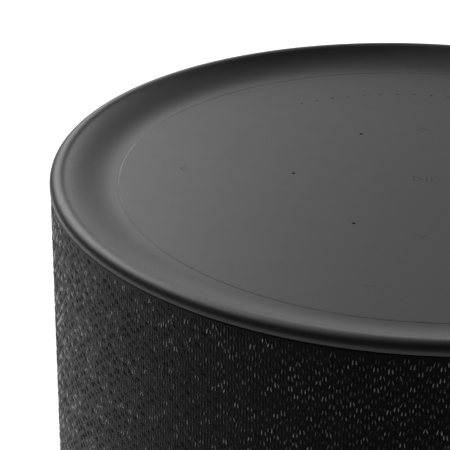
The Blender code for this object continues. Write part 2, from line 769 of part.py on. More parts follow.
def make_cabinet():
    shell = hexagon("cabinet_shell", cabinet_corner, BAY_CEILING, cabinet_top, BLACK_PLASTIC, open_top=True)
    solidify = shell.modifiers.new("Wall", "SOLIDIFY")
    solidify.thickness = CABINET_WALL
    solidify.offset = -1
    solidify.use_even_offset = True

    overlap = CABINET_WALL / 2
    legs = cylinders("cabinet_legs", leg_places, LEG_RADIUS, base_floor_top + GAP, BAY_CEILING + overlap, 16)
    post_x = board_half_length - BOARD_POST_INSET
    post_y = MAIN_BOARD_HALF_DEPTH - BOARD_POST_INSET
    places = [(x, y) for x in (-post_x, post_x) for y in (-post_y, post_y)]
    post_bottom = main_board_top + GAP
    posts = cylinders("main_board_posts", places, BOARD_POST_RADIUS, post_bottom, BAY_CEILING + overlap, 10)
    join(shell, legs, posts)

    hole_top = base_floor_top + GAP + SCREW_BITE + GAP
    screw_holes = cylinders("leg_screw_holes", leg_places, SCREW_RADIUS + GAP, 0, hole_top, SCREW_STEPS)
    cut(shell, screw_holes)
    d = side_driver
    reach = 2 * CABINET_WALL
    for number, angle in enumerate(SIDE_DRIVER_ANGLES, 1):
        hole = cylinders(f"side_opening_{number}", [(0, 0)], d.opening_radius, -reach, reach, d.steps)
        hole.matrix_world = outward(angle, cabinet_face, side_driver_height)
        cut(shell, hole)

    lid = hexagon("cabinet_lid", cabinet_corner, lid_bottom, lid_top, BLACK_PLASTIC)
    below = lid_bottom - LID_THICKNESS
    above = lid_top + LID_THICKNESS
    cut(lid, cylinders("woofer_opening", [(0, 0)], woofer.opening_radius, below, above, woofer.steps))


def frame_profile(d):
    """The basket: a raised flange, a seat for the surround, a tapering wall and a floor with its throat."""
    floor = -d.basket_depth
    inner_floor_radius = d.floor_radius - 1.5 * d.basket_wall
    floor_top = floor + 2 * d.basket_wall
    return [
        (d.seat_radius + GAP, d.flange_thickness),
        (d.flange_radius, d.flange_thickness),
        (d.flange_radius, 0),
        (d.mouth_radius + d.basket_wall, 0),
        (d.floor_radius, floor + 3 * d.basket_wall),
        (d.floor_radius, floor),
        (d.coil_outer + 5 * GAP, floor),
        (d.coil_outer + 5 * GAP, floor_top),
        (inner_floor_radius, floor_top),
        (d.mouth_radius, d.seat_height),
        (d.seat_radius + GAP, d.seat_height),
    ]


def motor_profile(d):
    """A magnet cup with its pole in the middle and a ring gap that the voice coil moves in."""
    top = -d.basket_depth - GAP
    gap_floor = d.coil_top - d.coil_length - d.travel - GAP
    pole_top = top + 1.5 * MM
    return [
        (0, pole_top),
        (d.coil_inner - 1 * MM, pole_top),
        (d.coil_inner - 1 * MM, gap_floor),
        (d.coil_outer + 1 * MM, gap_floor),
        (d.coil_outer + 1 * MM, top),
        (d.motor_radius, top),
        (d.motor_radius, top - d.motor_depth),
        (0, top - d.motor_depth),
    ]


def cone_side(d, drop, neck_radius, pieces=4):
    """Points of the flared cone from its outer edge in to its neck, lowered by drop."""
    run = d.cone_radius - neck_radius
    rise = d.cone_depth
    points = []
    for i in range(pieces + 1):
        share = i / pieces
        radius = d.cone_radius - run * share
        points.append((radius, d.seat_height - rise * share ** 1.25 - drop))
    return points


def cone_profile(d):
    top = cone_side(d, 0, d.coil_outer + GAP)
    bottom = cone_side(d, d.cone_thickness, d.coil_outer + GAP)
    return top[::-1] + bottom


def closed_cone_profile(d):
    """A small driver's cone, one piece with its centre dome and its coil former."""
    neck = cone_side(d, 0, d.coil_outer)
    under = cone_side(d, d.cone_thickness, d.coil_outer)
    dome_edge = neck[-1][1]
    dome_top = dome_edge + 2.2 * MM
    former_bottom = d.coil_top - d.coil_length
    dome = [(0, dome_top), (d.coil_inner * 0.6, dome_top - 0.7 * MM)]
    former = [
        (d.coil_outer, former_bottom),
        (d.coil_inner, former_bottom),
        (d.coil_inner, dome_edge - d.cone_thickness),
        (d.coil_inner * 0.6, dome_top - 0.7 * MM - d.cone_thickness),
        (0, dome_top - d.cone_thickness),
    ]
    return dome + neck[::-1] + under + former


def surround_profile(d, pieces=4):
    """A half roll between the cone's edge and a flat lip on the basket's seat."""
    inner = d.cone_radius + GAP
    roll_outer = d.mouth_radius + 0.3 * d.seat_width
    middle = (inner + roll_outer) / 2
    half = (roll_outer - inner) / 2
    base = d.seat_height + GAP
    skin = 0.6 * MM
    top = []
    under = []
    for i in range(pieces + 1):
        angle = math.pi * (1 - i / pieces)
        top.append((middle + half * math.cos(angle), base + skin + d.roll_height * math.sin(angle)))
        reach = half - (skin if 0 < i < pieces else 0)
        under.append((middle + reach * math.cos(angle), base + (d.roll_height - 0.1 * MM) * math.sin(angle)))
    lip = [(d.seat_radius, base + skin), (d.seat_radius, base)]
    return top + lip + under[::-1]


def make_woofer():
    axis = add_empty("woofer_axis", Matrix.Translation((0, 0, lid_top + GAP)))
    d = woofer
    frame = turned("woofer_frame", frame_profile(d), d.steps, BLACK_PLASTIC, axis)
    middle = (d.mouth_radius + d.floor_radius) / 2
    window = Vector((4 * d.basket_wall + middle, 14 * MM, d.basket_depth * 0.45))
    for number in range(6):
        cutter = boxes(f"basket_window_{number + 1}", [(middle, 0, -d.basket_depth / 2)], window, parent=axis)
        cutter.matrix_parent_inverse = Matrix.Rotation((number + 0.5) * FULL_TURN / 6, 4, "Z")
        cut(frame, cutter)
    turned("woofer_motor", motor_profile(d), d.steps, STEEL, axis)
    turned("woofer_cone", cone_profile(d), d.steps, CONE_PAPER, axis)
    turned("woofer_surround", surround_profile(d), d.steps, RUBBER, axis)

    coil_bottom = d.coil_top - d.coil_length
    coil = tube_profile(d.coil_inner, d.coil_outer, coil_bottom, d.coil_top)
    turned("woofer_coil", coil, d.steps, ALUMINIUM, axis)

    cap_edge = d.coil_top + GAP
    cap_rise = 4.0 * MM
    skin = 0.7 * MM
    pieces = 3
    dome = []
    for i in range(pieces + 1):
        share = i / pieces
        dome.append((d.coil_outer * share, cap_rise * (1 - share ** 2)))
    profile = [(r, cap_edge + skin + z) for r, z in dome] + [(r, cap_edge + z) for r, z in dome[::-1]]
    turned("woofer_dust_cap", profile, d.steps, CONE_PAPER, axis)

    floor_top = -d.basket_depth + 2 * d.basket_wall
    inner = d.coil_outer + GAP
    outer = d.floor_radius - 1.5 * d.basket_wall - GAP
    waves = 2
    ridge = []
    for i in range(2 * waves + 1):
        rise = 1.0 * MM if i % 2 else 0.0
        ridge.append((inner + (outer - inner) * i / (2 * waves), floor_top + GAP + rise))
    spider = [(r, z + skin) for r, z in ridge] + ridge[::-1]
    turned("woofer_spider", spider, d.steps, SPIDER_CLOTH, axis)


def make_side_drivers():
    d = side_driver
    for number, angle in enumerate(SIDE_DRIVER_ANGLES, 1):
        axis = add_empty(f"side_driver_axis_{number}", outward(angle, cabinet_face + GAP, side_driver_height))
        turned(f"side_driver_frame_{number}", frame_profile(d), d.steps, BLACK_PLASTIC, axis)
        turned(f"side_driver_motor_{number}", motor_profile(d), d.steps, STEEL, axis)
        turned(f"side_driver_cone_{number}", closed_cone_profile(d), d.steps, CONE_PAPER, axis)
        turned(f"side_driver_surround_{number}", surround_profile(d), d.steps, RUBBER, axis)


# ---------------------------------------------------------------- side wall


def make_grille():
    """A tube with rows of upright windows, as an open wall that Solidify thickens inwards."""
    bottom = SKIRT_HEIGHT + GAP
    rows_height = grille_top - bottom - 2 * GRILLE_END_BAND
    window = (rows_height - (GRILLE_WINDOW_ROWS - 1) * GRILLE_CROSS_BAND) / GRILLE_WINDOW_ROWS
    heights = [grille_top]
    z = grille_top - GRILLE_END_BAND
    for _ in range(GRILLE_WINDOW_ROWS):
        heights += [z, z - window]
        z -= window + GRILLE_CROSS_BAND
    heights.append(bottom)
    mesh = turned_mesh("grille_tube", [(grille_outer, z) for z in heights], GRILLE_COLUMNS, closed=False)

    work = bmesh.new()
    work.from_mesh(mesh)
    windows = []
    for face in work.faces:
        middle = face.calc_center_median()
        column = math.floor(math.atan2(middle.y, middle.x) / FULL_TURN * GRILLE_COLUMNS)
        level = sum(middle.z < height for height in heights)
        if column % 2 and level % 2 == 0:
            windows.append(face)
    bmesh.ops.delete(work, geom=windows, context="FACES")
    work.to_mesh(mesh)
    work.free()
    tube = add_object("grille_tube", mesh, BLACK_PLASTIC)
    solidify = tube.modifiers.new("Wall", "SOLIDIFY")
    solidify.thickness = GRILLE_WALL
    solidify.offset = -1
    solidify.use_even_offset = True


def make_fabric():
    profile = tube_profile(fabric_inner, BODY_RADIUS, SKIRT_HEIGHT + GAP, fabric_top)
    turned("fabric_sleeve", profile, OUTER_STEPS, KNIT)


# ---------------------------------------------------------------- top


def make_top_frame():
    """A round tray: a floor, a shelf for the touch board, a ledge for the panel and an outer wall."""
    wall_inner = frame_outer - FRAME_WALL
    wall_top = rim_underside - GAP
    shelf_top = board_bottom - GAP
    profile = [
        (0, frame_floor_top),
        (shelf_inner, frame_floor_top),
        (shelf_inner, shelf_top),
        (shelf_outer, shelf_top),
        (shelf_outer, frame_floor_top),
        (ledge_inner, frame_floor_top),
        (ledge_inner, ledge_top),
        (ledge_outer, ledge_top),
        (ledge_outer, frame_floor_top),
        (wall_inner, frame_floor_top),
        (wall_inner, wall_top),
        (frame_outer, wall_top),
        (frame_outer, frame_bottom),
        (0, frame_bottom),
    ]
    frame = turned("top_frame", profile, OUTER_STEPS, BLACK_PLASTIC)
    leg_top = frame_bottom + FRAME_FLOOR / 2
    legs = cylinders("frame_legs", frame_leg_places, FRAME_LEG_RADIUS, lid_top + GAP, leg_top, 12)
    join(frame, legs)
    slot_size = Vector((RIBBON_WIDTH + 2 * MM, RIBBON_SLOT, 4 * FRAME_FLOOR))
    slot = boxes("ribbon_slot", [(0, ribbon_end + RIBBON_THICKNESS / 2, frame_bottom)], slot_size)
    below = frame_bottom - FRAME_FLOOR
    above = rim_root_bottom
    holes = cylinders("rim_screw_passages", rim_screw_places, SCREW_RADIUS + GAP, below, above, SCREW_STEPS)
    cut(frame, slot, holes)


def dish_slope():
    """The rim's concave side: a stretch of parabola that runs on smoothly into the crest."""
    start = rim_inner + RIM_FLAT
    crest_centre = BODY_RADIUS - RIM_CREST
    tilt = 0.0
    for _ in range(20):
        run = crest_centre - RIM_CREST * math.sin(tilt) - start
        rise = DISH_DEPTH - RIM_CREST * (1 - math.cos(tilt))
        tilt = math.atan(2 * rise / run)
    shares = [i / RIM_SLOPE_PIECES for i in range(RIM_SLOPE_PIECES + 1)]
    return [(start + run * share, panel_top + rise * share ** 2) for share in shares]


def make_rim():
    crest = []
    for step in (3, 2, 1, 0):
        angle = step * FULL_TURN / 12
        crest.append((
            BODY_RADIUS - RIM_CREST + RIM_CREST * math.cos(angle),
            BODY_HEIGHT - RIM_CREST + RIM_CREST * math.sin(angle),
        ))
    spigot = grille_outer - 2 * GAP
    profile = [(rim_inner, panel_top)] + dish_slope() + crest + [
        (BODY_RADIUS, rim_bottom),
        (spigot, rim_bottom),
        (spigot, rim_underside),
        (rim_root_outer, rim_underside),
        (rim_root_outer, rim_root_bottom),
        (rim_root_inner, rim_root_bottom),
        (rim_root_inner, panel_bottom),
        (rim_inner, panel_bottom),
    ]
    rim = turned("top_rim", profile, OUTER_STEPS, RIM_GREY)
    radius = SCREW_RADIUS + GAP
    hole_top = rim_root_bottom + RIM_SCREW_BITE + GAP
    cut(rim, cylinders("rim_screw_holes", rim_screw_places, radius, frame_bottom, hole_top, SCREW_STEPS))
    head_top = frame_bottom - GAP
    for number, (x, y) in enumerate(rim_screw_places, 1):
        screw = make_screw(
            f"rim_screw_{number}", head_top - SCREW_HEAD_HEIGHT, head_top, rim_root_bottom + RIM_SCREW_BITE
        )
        screw.location = (x, y, 0)


def make_touch_panel():
    profile = disc_profile(panel_radius, panel_bottom, panel_top)
    panel = turned("touch_panel", profile, OUTER_STEPS, PANEL_GREY)
    below = panel_bottom - PANEL_THICKNESS
    above = panel_top + PANEL_THICKNESS
    mics = cylinders("mic_holes", mic_places, MIC_HOLE_RADIUS, below, above, HOLE_STEPS)
    span = (LIGHTS - 1) * LIGHT_PITCH
    start = FULL_TURN / 4 - span / 2
    lights = arc_points(light_ring_radius, start, start + span, LIGHTS - 1)
    cut(panel, mics, cylinders("light_windows", lights, LIGHT_RADIUS, below, above, HOLE_STEPS))

    half_trim = TRIM_WIDTH / 2
    trim = tube_profile(seam_radius - half_trim, seam_radius + half_trim, panel_bottom, panel_top)
    turned("seam_trim", trim, OUTER_STEPS, TRIM_GREY)


def make_touch_board():
    steps = OUTER_STEPS // 2
    profile = disc_profile(touch_board_radius, board_bottom, board_top)
    board = turned("touch_board", profile, steps, CIRCUIT_GREEN)
    below = board_bottom - BOARD_THICKNESS
    above = panel_bottom
    cut(board, cylinders("board_ports", mic_places, MIC_PORT_RADIUS, below, above, HOLE_STEPS))

    gasket_bottom = board_top + GAP
    gasket_top = panel_bottom - GAP
    inner = MIC_RING_RADIUS - MIC_GASKET_WIDTH / 2
    outer = MIC_RING_RADIUS + MIC_GASKET_WIDTH / 2
    gasket = turned("mic_gasket", tube_profile(inner, outer, gasket_bottom, gasket_top), steps, RUBBER)
    cut(gasket, cylinders("gasket_ports", mic_places, MIC_PORT_RADIUS, below, above, HOLE_STEPS))

    for number, (x, y) in enumerate(mic_places, 1):
        place = (x, y, board_bottom - GAP - MICROPHONE.z / 2)
        boxes(f"microphone_{number}", [place], MICROPHONE, STEEL)

    half_span = (LIGHTS / 2 + 0.5) * LIGHT_PITCH
    right = FULL_TURN / 4 - half_span
    left = FULL_TURN / 4 + half_span
    far_side = arc_points(light_ring_radius + LIGHT_GUIDE_WIDTH / 2, right, left, LIGHTS)
    near_side = arc_points(light_ring_radius - LIGHT_GUIDE_WIDTH / 2, left, right, LIGHTS)
    middle = Matrix.Translation((0, 0, (gasket_top + gasket_bottom) / 2))
    plate("light_guide", far_side + near_side, gasket_top - gasket_bottom, CLEAR_PLASTIC, middle)


make_foot()
make_base_shell()
make_base_screws()
make_power_inlet()
make_rear_controls()
make_power_supply()
make_main_board()
make_heat_sink()
make_antennas()
make_ribbon()
make_cabinet()
make_woofer()
make_side_drivers()
make_grille()
make_fabric()
make_top_frame()
make_rim()
make_touch_panel()
make_touch_board()
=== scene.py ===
"""Looks for a smart home hub: a cylinder in a knitted sleeve, with a dished touch top.

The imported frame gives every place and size, in metres, with +Z up and the front towards -Y.
What shows from outside is built again here at a finer grain. The pieces inside keep their
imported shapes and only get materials.
"""

import math

import bmesh
import bpy
import numpy as np
from mathutils import Matrix, Vector


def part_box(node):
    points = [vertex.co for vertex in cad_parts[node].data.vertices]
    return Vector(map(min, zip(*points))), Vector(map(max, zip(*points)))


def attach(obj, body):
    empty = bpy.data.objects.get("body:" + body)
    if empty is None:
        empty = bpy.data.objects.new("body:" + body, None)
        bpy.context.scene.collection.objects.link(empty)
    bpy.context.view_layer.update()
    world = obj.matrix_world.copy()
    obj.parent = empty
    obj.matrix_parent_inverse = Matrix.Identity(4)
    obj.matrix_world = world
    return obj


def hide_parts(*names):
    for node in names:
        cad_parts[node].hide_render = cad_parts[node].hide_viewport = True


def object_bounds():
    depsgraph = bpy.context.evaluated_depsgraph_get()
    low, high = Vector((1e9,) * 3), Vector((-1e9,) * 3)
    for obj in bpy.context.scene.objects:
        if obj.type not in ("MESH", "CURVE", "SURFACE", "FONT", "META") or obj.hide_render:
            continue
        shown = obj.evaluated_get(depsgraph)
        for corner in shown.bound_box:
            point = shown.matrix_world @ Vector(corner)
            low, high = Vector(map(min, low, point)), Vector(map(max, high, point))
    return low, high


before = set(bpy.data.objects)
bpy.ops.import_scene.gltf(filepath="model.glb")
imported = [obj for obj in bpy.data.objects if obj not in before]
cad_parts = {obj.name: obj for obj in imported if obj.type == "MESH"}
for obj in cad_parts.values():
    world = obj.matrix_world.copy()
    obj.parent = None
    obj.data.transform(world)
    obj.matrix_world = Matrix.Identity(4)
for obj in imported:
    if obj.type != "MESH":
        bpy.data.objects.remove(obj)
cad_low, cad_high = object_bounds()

MM = 0.001
FULL_TURN = 2 * math.pi

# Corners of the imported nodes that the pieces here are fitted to
fabric_low, fabric_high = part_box("fabric_sleeve")
panel_low, panel_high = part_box("touch_panel")
base_low, base_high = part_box("base_shell")
inlet_low, inlet_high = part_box("power_inlet")
rim_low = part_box("top_rim")[0]
trim_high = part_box("seam_trim")[1]
grille_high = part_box("grille_tube")[1]
foot_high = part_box("foot_pad")[1]

RADIUS = cad_high.x
HEIGHT = cad_high.z
GAP = 0.3 * MM
RING_STEPS = 288
FINE_STEPS = 2 * RING_STEPS

# Camera: its place from the centre of the top, in radii, and the way it points
CAMERA_PLACE = Vector((-0.0958, -4.548, 1.946))
CAMERA_PAN = math.radians(5.494)
CAMERA_TILT = math.radians(25.213)
CAMERA_ROLL = math.radians(0.38)
LENS = 146.55
SENSOR = 36.0

# Top: how tightly rim, line and panel meet, and how the rim rises to its crest
LINE_WIDTH = 0.30 * MM
LINE_PROUD = 0.03 * MM
LINE_ROUNDING = 0.05 * MM
SEAM_CLEARANCE = 0.02 * MM
SEAM_EDGE = 0.03 * MM
RIM_CREST = 2.3 * MM
CREST_HEIGHT = 1.9 * MM
CREST_STEPS = 16
RIM_FLAT = 0.5 * MM
RIM_SLOPE_STEPS = 22
RIM_SLOPE_POWER = 2.2
RIM_EDGE = 0.08 * MM
RIM_ROOT_WIDTH = 6.0 * MM
RIM_THROAT = 1.5 * MM
PANEL_BORDER = 1.5 * MM
MIC_RING = 30.6 * MM
MICROPHONES = 6
MIC_RADIUS = 0.42 * MM
LIGHTS = 16
LIGHT_PITCH = math.radians(4.61)
LIGHT_RING = 55.3 * MM
LIGHT_RADIUS = 0.35 * MM
LIGHT_SUNK = 0.05 * MM
LIGHT_DOME = 0.04 * MM

# Printed marks on the panel
INK_HEIGHT = 0.02 * MM
INK_STEP = 0.002 * MM
INK_STEPS = 4
STROKE = 0.34 * MM
ICON_RING = 31.5 * MM
SIDE_ICON_RING = 57.2 * MM
CHEVRON = (2.5 * MM, 1.3 * MM)

# Knit: the grid of stitches, the two legs of a stitch and the yarn's thickness
WALE = 1.45 * MM
COURSE = 1.18 * MM
LEG_OFFSET = 0.37 * MM
LEG_LEAN = math.radians(7)
YARN_WIDTH = 0.22 * MM
YARN_LENGTH = 1.45 * MM
YARN_PROUD = 0.22 * MM
YARN_SUNK = 0.1 * MM
YARN_SEED = 7
knit_surface = RADIUS - YARN_PROUD - 0.12 * MM

# Base: the sizes that the boxes of its nodes don't give
SKIRT_WALL = 2.6 * MM
SKIRT_ROUNDING = 2.0 * MM
SKIRT_EDGE = 0.4 * MM
BASE_FLOOR = 4.0 * MM
FLANGE = 2.4 * MM
LIP_RADIUS = grille_high.x - 2.7 * MM
LIP_WALL = 2.3 * MM
FOOT_WIDTH = 12.0 * MM
FOOT_GROOVES = 3
FOOT_GROOVE_RADIUS = 0.5 * MM
FOOT_EDGE = 0.6 * MM
SOCKET_SIZE = (16.0 * MM, 8.1 * MM)
SOCKET_DEPTH = 12.0 * MM
CONTROL_ANGLE = math.radians(15)
BUTTON_RADIUS = 2.5 * MM
BUTTON_PROUD = 0.5 * MM
BUTTON_LENGTH = 8.0 * MM
BUTTON_ROUNDING = 0.45 * MM
BUTTON_HOLLOW = 0.14 * MM
BUTTON_COLLAR = 1.1 * MM
BUTTON_COLLAR_THICKNESS = 1.5 * MM
KNOB_SIZE = (4.0 * MM, 3.0 * MM)
KNOB_PROUD = 0.4 * MM
KNOB_GROOVE = (0.35 * MM, 2 * KNOB_SIZE[1], 0.5 * MM)
KNOB_GROOVE_PITCH = 0.9 * MM
SLIDER_TRAVEL = 2.5 * MM
SLIDER_PLATE = (13.0 * MM, 6.0 * MM, 1.2 * MM)
SCREW_RADIUS = 1.5 * MM
SCREW_HEAD_RADIUS = 2.9 * MM
SCREW_HEAD_HEIGHT = 1.8 * MM
SCREW_HEAD_ROUNDING = 0.7 * MM
SCREW_POINT = (0.6 * MM, 1.2 * MM)
SCREW_CROSS = (2.6 * MM, 0.55 * MM, 1.8 * MM)

# Stage: the floor, and the soft boxes on the top: azimuth and elevation in degrees, distance, size, power
FLOOR_SIZE = 4.0
FLOOR_STEPS = 8
SOFT_BOXES = (
    ("key", 25, 30, 1.4, 0.6, 4.3),
    ("key_left", 45, 30, 1.4, 0.6, 4.2),
    ("key_high", 50, 50, 0.9, 0.4, 1.5),
    ("rim_right", -25, 8, 1.4, 0.6, 9.6),
    ("rim_high", -30, 30, 1.4, 0.6, 1.2),
    ("rim_back", 10, 6, 1.4, 0.6, 1.6),
)
CLOTH_LIGHT = ("side", 80, 20, 0.45, 0.25, 1.7)


# ---------------------------------------------------------------- node materials


class Finish:
    """A material under construction: a Principled BSDF and the nodes that feed it."""

    def __init__(self, name, color, roughness, metallic=0.0, specular=0.5):
        self.material = bpy.data.materials.new(name)
        self.material.use_nodes = True
        self.tree = self.material.node_tree
        self.shader = self.tree.nodes["Principled BSDF"]
        self.shader.inputs["Base Color"].default_value = (*color, 1)
        self.shader.inputs["Roughness"].default_value = roughness
        self.shader.inputs["Metallic"].default_value = metallic
        self.shader.inputs["Specular IOR Level"].default_value = specular
        self.color = color
        self.roughness = roughness
        self.height = None
        self.place = self.node("ShaderNodeTexCoord").outputs["Object"]

    def node(self, kind, inputs=(), **settings):
        made = self.tree.nodes.new(kind)
        for key, value in settings.items():
            setattr(made, key, value)
        for key, value in dict(inputs).items():
            if isinstance(value, bpy.types.NodeSocket):
                self.tree.links.new(value, made.inputs[key])
            else:
                made.inputs[key].default_value = value
        return made

    def math(self, operation, first, second=0.0, third=0.0):
        return self.node("ShaderNodeMath", {0: first, 1: second, 2: third}, operation=operation).outputs[0]

    def scaled(self, factors, turn=(0, 0, 0)):
        mapping = self.node("ShaderNodeMapping", {"Vector": self.place, "Scale": factors, "Rotation": turn})
        return mapping.outputs["Vector"]

    def noise(self, size, detail=4.0, stretch=(1, 1, 1), roughness=0.55):
        """Noise whose grains are about size metres across."""
        vector = self.scaled([s / size for s in stretch])
        settings = {"Vector": vector, "Scale": 1.0, "Detail": detail, "Roughness": roughness}
        return self.node("ShaderNodeTexNoise", settings).outputs["Fac"]

    def mapped(self, value, low, high, from_low=0.0, from_high=1.0):
        inputs = {"Value": value, "From Min": from_low, "From Max": from_high, "To Min": low, "To Max": high}
        return self.node("ShaderNodeMapRange", inputs).outputs["Result"]

    def tone(self, value, spread):
        """Lets value, from 0 to 1, darken and lighten the colour by up to spread."""
        low = [c * (1 - spread) for c in self.color]
        high = [c * (1 + spread) for c in self.color]
        self.blend(value, low, high)

    def blend(self, value, low, high):
        mix = self.node("ShaderNodeMix", {"Factor": value}, data_type="RGBA")
        mix.inputs["A"].default_value = (*low, 1)
        mix.inputs["B"].default_value = (*high, 1)
        self.tree.links.new(mix.outputs["Result"], self.shader.inputs["Base Color"])

    def wear(self, value, spread):
        """Lets value, from 0 to 1, change the roughness by up to spread either way."""
        varied = self.mapped(value, self.roughness - spread, self.roughness + spread)
        self.tree.links.new(varied, self.shader.inputs["Roughness"])

    def bump(self, value, depth, strength=1.0):
        bump = self.node("ShaderNodeBump", {"Height": value, "Distance": depth, "Strength": strength})
        if self.height:
            self.tree.links.new(self.height, bump.inputs["Normal"])
        self.height = bump.outputs["Normal"]
        self.tree.links.new(self.height, self.shader.inputs["Normal"])


def moulded(name, color, roughness, grain=0.35 * MM, depth=0.012 * MM, cloud=0.05, specular=0.5):
    """Moulded plastic: fine spark-eroded grain, slow changes of tone and a slightly uneven gloss."""
    finish = Finish(name, color, roughness, specular=specular)
    slow = finish.noise(35 * MM, 3)
    fine = finish.noise(grain, 5)
    finish.tone(finish.math("MULTIPLY_ADD", fine, 0.4, finish.math("MULTIPLY", slow, 0.6)), cloud)
    finish.wear(finish.noise(6 * MM, 5), 0.04)
    finish.bump(fine, depth)
    return finish.material


def rubbery(name, color):
    finish = Finish(name, color, 0.82, specular=0.3)
    finish.tone(finish.noise(2.5 * MM, 6), 0.25)
    finish.wear(finish.noise(8 * MM, 4), 0.08)
    finish.bump(finish.noise(0.25 * MM, 3), 0.03 * MM)
    return finish.material


def brushed(name, color, roughness, stretch=(1, 1, 14)):
    """Metal with fine lines where it was drawn or turned, and light tarnish."""
    finish = Finish(name, color, roughness, metallic=1.0)
    lines = finish.noise(0.9 * MM, 4, stretch)
    finish.tone(finish.noise(7 * MM, 5), 0.12)
    finish.wear(lines, 0.12)
    finish.bump(lines, 0.01 * MM)
    return finish.material


def circuit(name, mask):
    """A printed board: copper tracks under a solder mask."""
    finish = Finish(name, mask, 0.35)
    cells = finish.node("ShaderNodeTexVoronoi", {"Vector": finish.place, "Scale": 1 / (2.4 * MM)},
                        feature="DISTANCE_TO_EDGE", distance="MANHATTAN")
    tracks = finish.mapped(cells.outputs["Distance"], 1.0, 0.0, 0.05, 0.09)
    finish.blend(tracks, mask, [min(1, c * 1.9 + 0.01) for c in mask])
    finish.wear(finish.noise(3 * MM, 4), 0.06)
    finish.bump(tracks, 0.03 * MM)
    return finish.material


def woven_cloth(name, color):
    """Resin-dipped cloth, two crossing sets of threads."""
    finish = Finish(name, color, 0.8)
    waves = []
    for direction in ("X", "Y"):
        wave = finish.node("ShaderNodeTexWave", {"Vector": finish.place, "Scale": 1 / (3.2 * MM)},
                           bands_direction=direction)
        waves.append(wave.outputs["Fac"])
    threads = finish.math("MULTIPLY", *waves)
    finish.tone(finish.math("MULTIPLY_ADD", threads, 0.5, finish.noise(5 * MM)), 0.3)
    finish.bump(threads, 0.08 * MM)
    return finish.material


def pulp(name, color):
    """Pressed paper pulp with short fibres."""
    finish = Finish(name, color, 0.75)
    fibres = finish.noise(1.2 * MM, 8, (1, 3, 1), 0.7)
    finish.tone(fibres, 0.35)
    finish.wear(finish.noise(4 * MM, 5), 0.08)
    finish.bump(fibres, 0.05 * MM)
    return finish.material


def knit_ground(name, color):
    """The dark stitches of the knit: two leaning legs in each cell of a running grid."""
    finish = Finish(name, color, 0.85, specular=0.15)
    split = finish.node("ShaderNodeSeparateXYZ", {0: finish.place}).outputs
    turn = finish.math("ARCTAN2", split["Y"], split["X"])
    column = finish.math("MULTIPLY", turn, wale_count() / FULL_TURN)
    row = finish.math("DIVIDE", split["Z"], COURSE)
    across = finish.math("SUBTRACT", finish.math("FRACT", column), 0.5)
    along = finish.math("SUBTRACT", finish.math("FRACT", row), 0.5)
    centre = finish.math("MULTIPLY_ADD", along, 0.12, LEG_OFFSET / WALE)
    off = finish.math("ABSOLUTE", finish.math("SUBTRACT", finish.math("ABSOLUTE", across), centre))
    leg = finish.mapped(off, 1.0, 0.0, 0.03, 0.17)
    end = finish.mapped(finish.math("ABSOLUTE", along), 1.0, 0.0, 0.3, 0.5)
    stitch = finish.math("MULTIPLY", leg, end)
    cell = finish.node("ShaderNodeCombineXYZ", {
        "X": finish.math("FLOOR", column),
        "Y": finish.math("FLOOR", row),
    }).outputs[0]
    dye = finish.node("ShaderNodeTexWhiteNoise", {"Vector": cell}, noise_dimensions="2D").outputs["Value"]
    fuzz = finish.noise(0.5 * MM, 4)
    shade = finish.math("MULTIPLY", stitch, finish.math("MULTIPLY_ADD", dye, 0.6, fuzz))
    finish.blend(shade, [c * 0.6 for c in color], [c * 1.5 for c in color])
    finish.shader.inputs["Sheen Weight"].default_value = 0.2
    finish.shader.inputs["Sheen Roughness"].default_value = 0.45
    finish.bump(stitch, 0.06 * MM)
    finish.bump(finish.noise(0.12 * MM, 3), 0.03 * MM, 0.6)
    return finish.material


def yarn(name, color, roughness):
    """A twisted thread that catches the light, uneven in tone from one stitch to the next."""
    finish = Finish(name, color, roughness, specular=0.5)
    finish.shader.inputs["Sheen Weight"].default_value = 0.2
    finish.shader.inputs["Sheen Roughness"].default_value = 0.4
    finish.tone(finish.noise(1.1 * MM, 4), 0.6)
    finish.bump(finish.noise(0.1 * MM, 3), 0.03 * MM)
    return finish.material


def banded(name, low, high, width, direction, roughness=0.5):
    """Bands of two tones side by side, such as tape turns or the cores of a flat cable."""
    finish = Finish(name, high, roughness)
    wave = finish.node("ShaderNodeTexWave", {"Vector": finish.place, "Scale": math.pi / 10 / width},
                       bands_direction=direction).outputs["Fac"]
    finish.blend(finish.mapped(wave, 0.0, 1.0, 0.25, 0.6), low, high)
    finish.wear(finish.noise(3 * MM, 4), 0.06)
    finish.bump(wave, 0.05 * MM)
    return finish.material


def printed(name, color):
    finish = Finish(name, color, 0.55)
    finish.tone(finish.noise(0.6 * MM, 5), 0.12)
    finish.wear(finish.noise(3 * MM, 4), 0.05)
    return finish.material


# ---------------------------------------------------------------- mesh tools


def faced_out(mesh):
    """Turns every face of a closed mesh to look outwards."""
    edit = bmesh.new()
    edit.from_mesh(mesh)
    bmesh.ops.recalc_face_normals(edit, faces=edit.faces)
    edit.to_mesh(mesh)
    edit.free()


def linked(name, data):
    """A new object in the scene."""
    made = bpy.data.objects.new(name, data)
    bpy.context.scene.collection.objects.link(made)
    return made


def shape(name, vertices, faces):
    """A loose object from points and faces, for cutting and joining."""
    mesh = bpy.data.meshes.new(name)
    mesh.from_pydata([tuple(v) for v in vertices], [], faces)
    faced_out(mesh)
    return linked(name, mesh)


def finished(name, mesh, material, sharp=35, body="housing"):
    """A piece that rides on a body, smooth where it turns by less than sharp degrees."""
    faced_out(mesh)
    mesh.materials.append(material)
    mesh.shade_smooth()
    mesh.set_sharp_from_angle(angle=math.radians(sharp))
    piece = linked(name, mesh)
    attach(piece, body)
    return piece


def add_mesh(name, vertices, faces, material, sharp=35):
    """A piece on the housing from points and faces."""
    mesh = bpy.data.meshes.new(name)
    mesh.from_pydata([tuple(v) for v in vertices], [], faces)
    return finished(name, mesh, material, sharp)


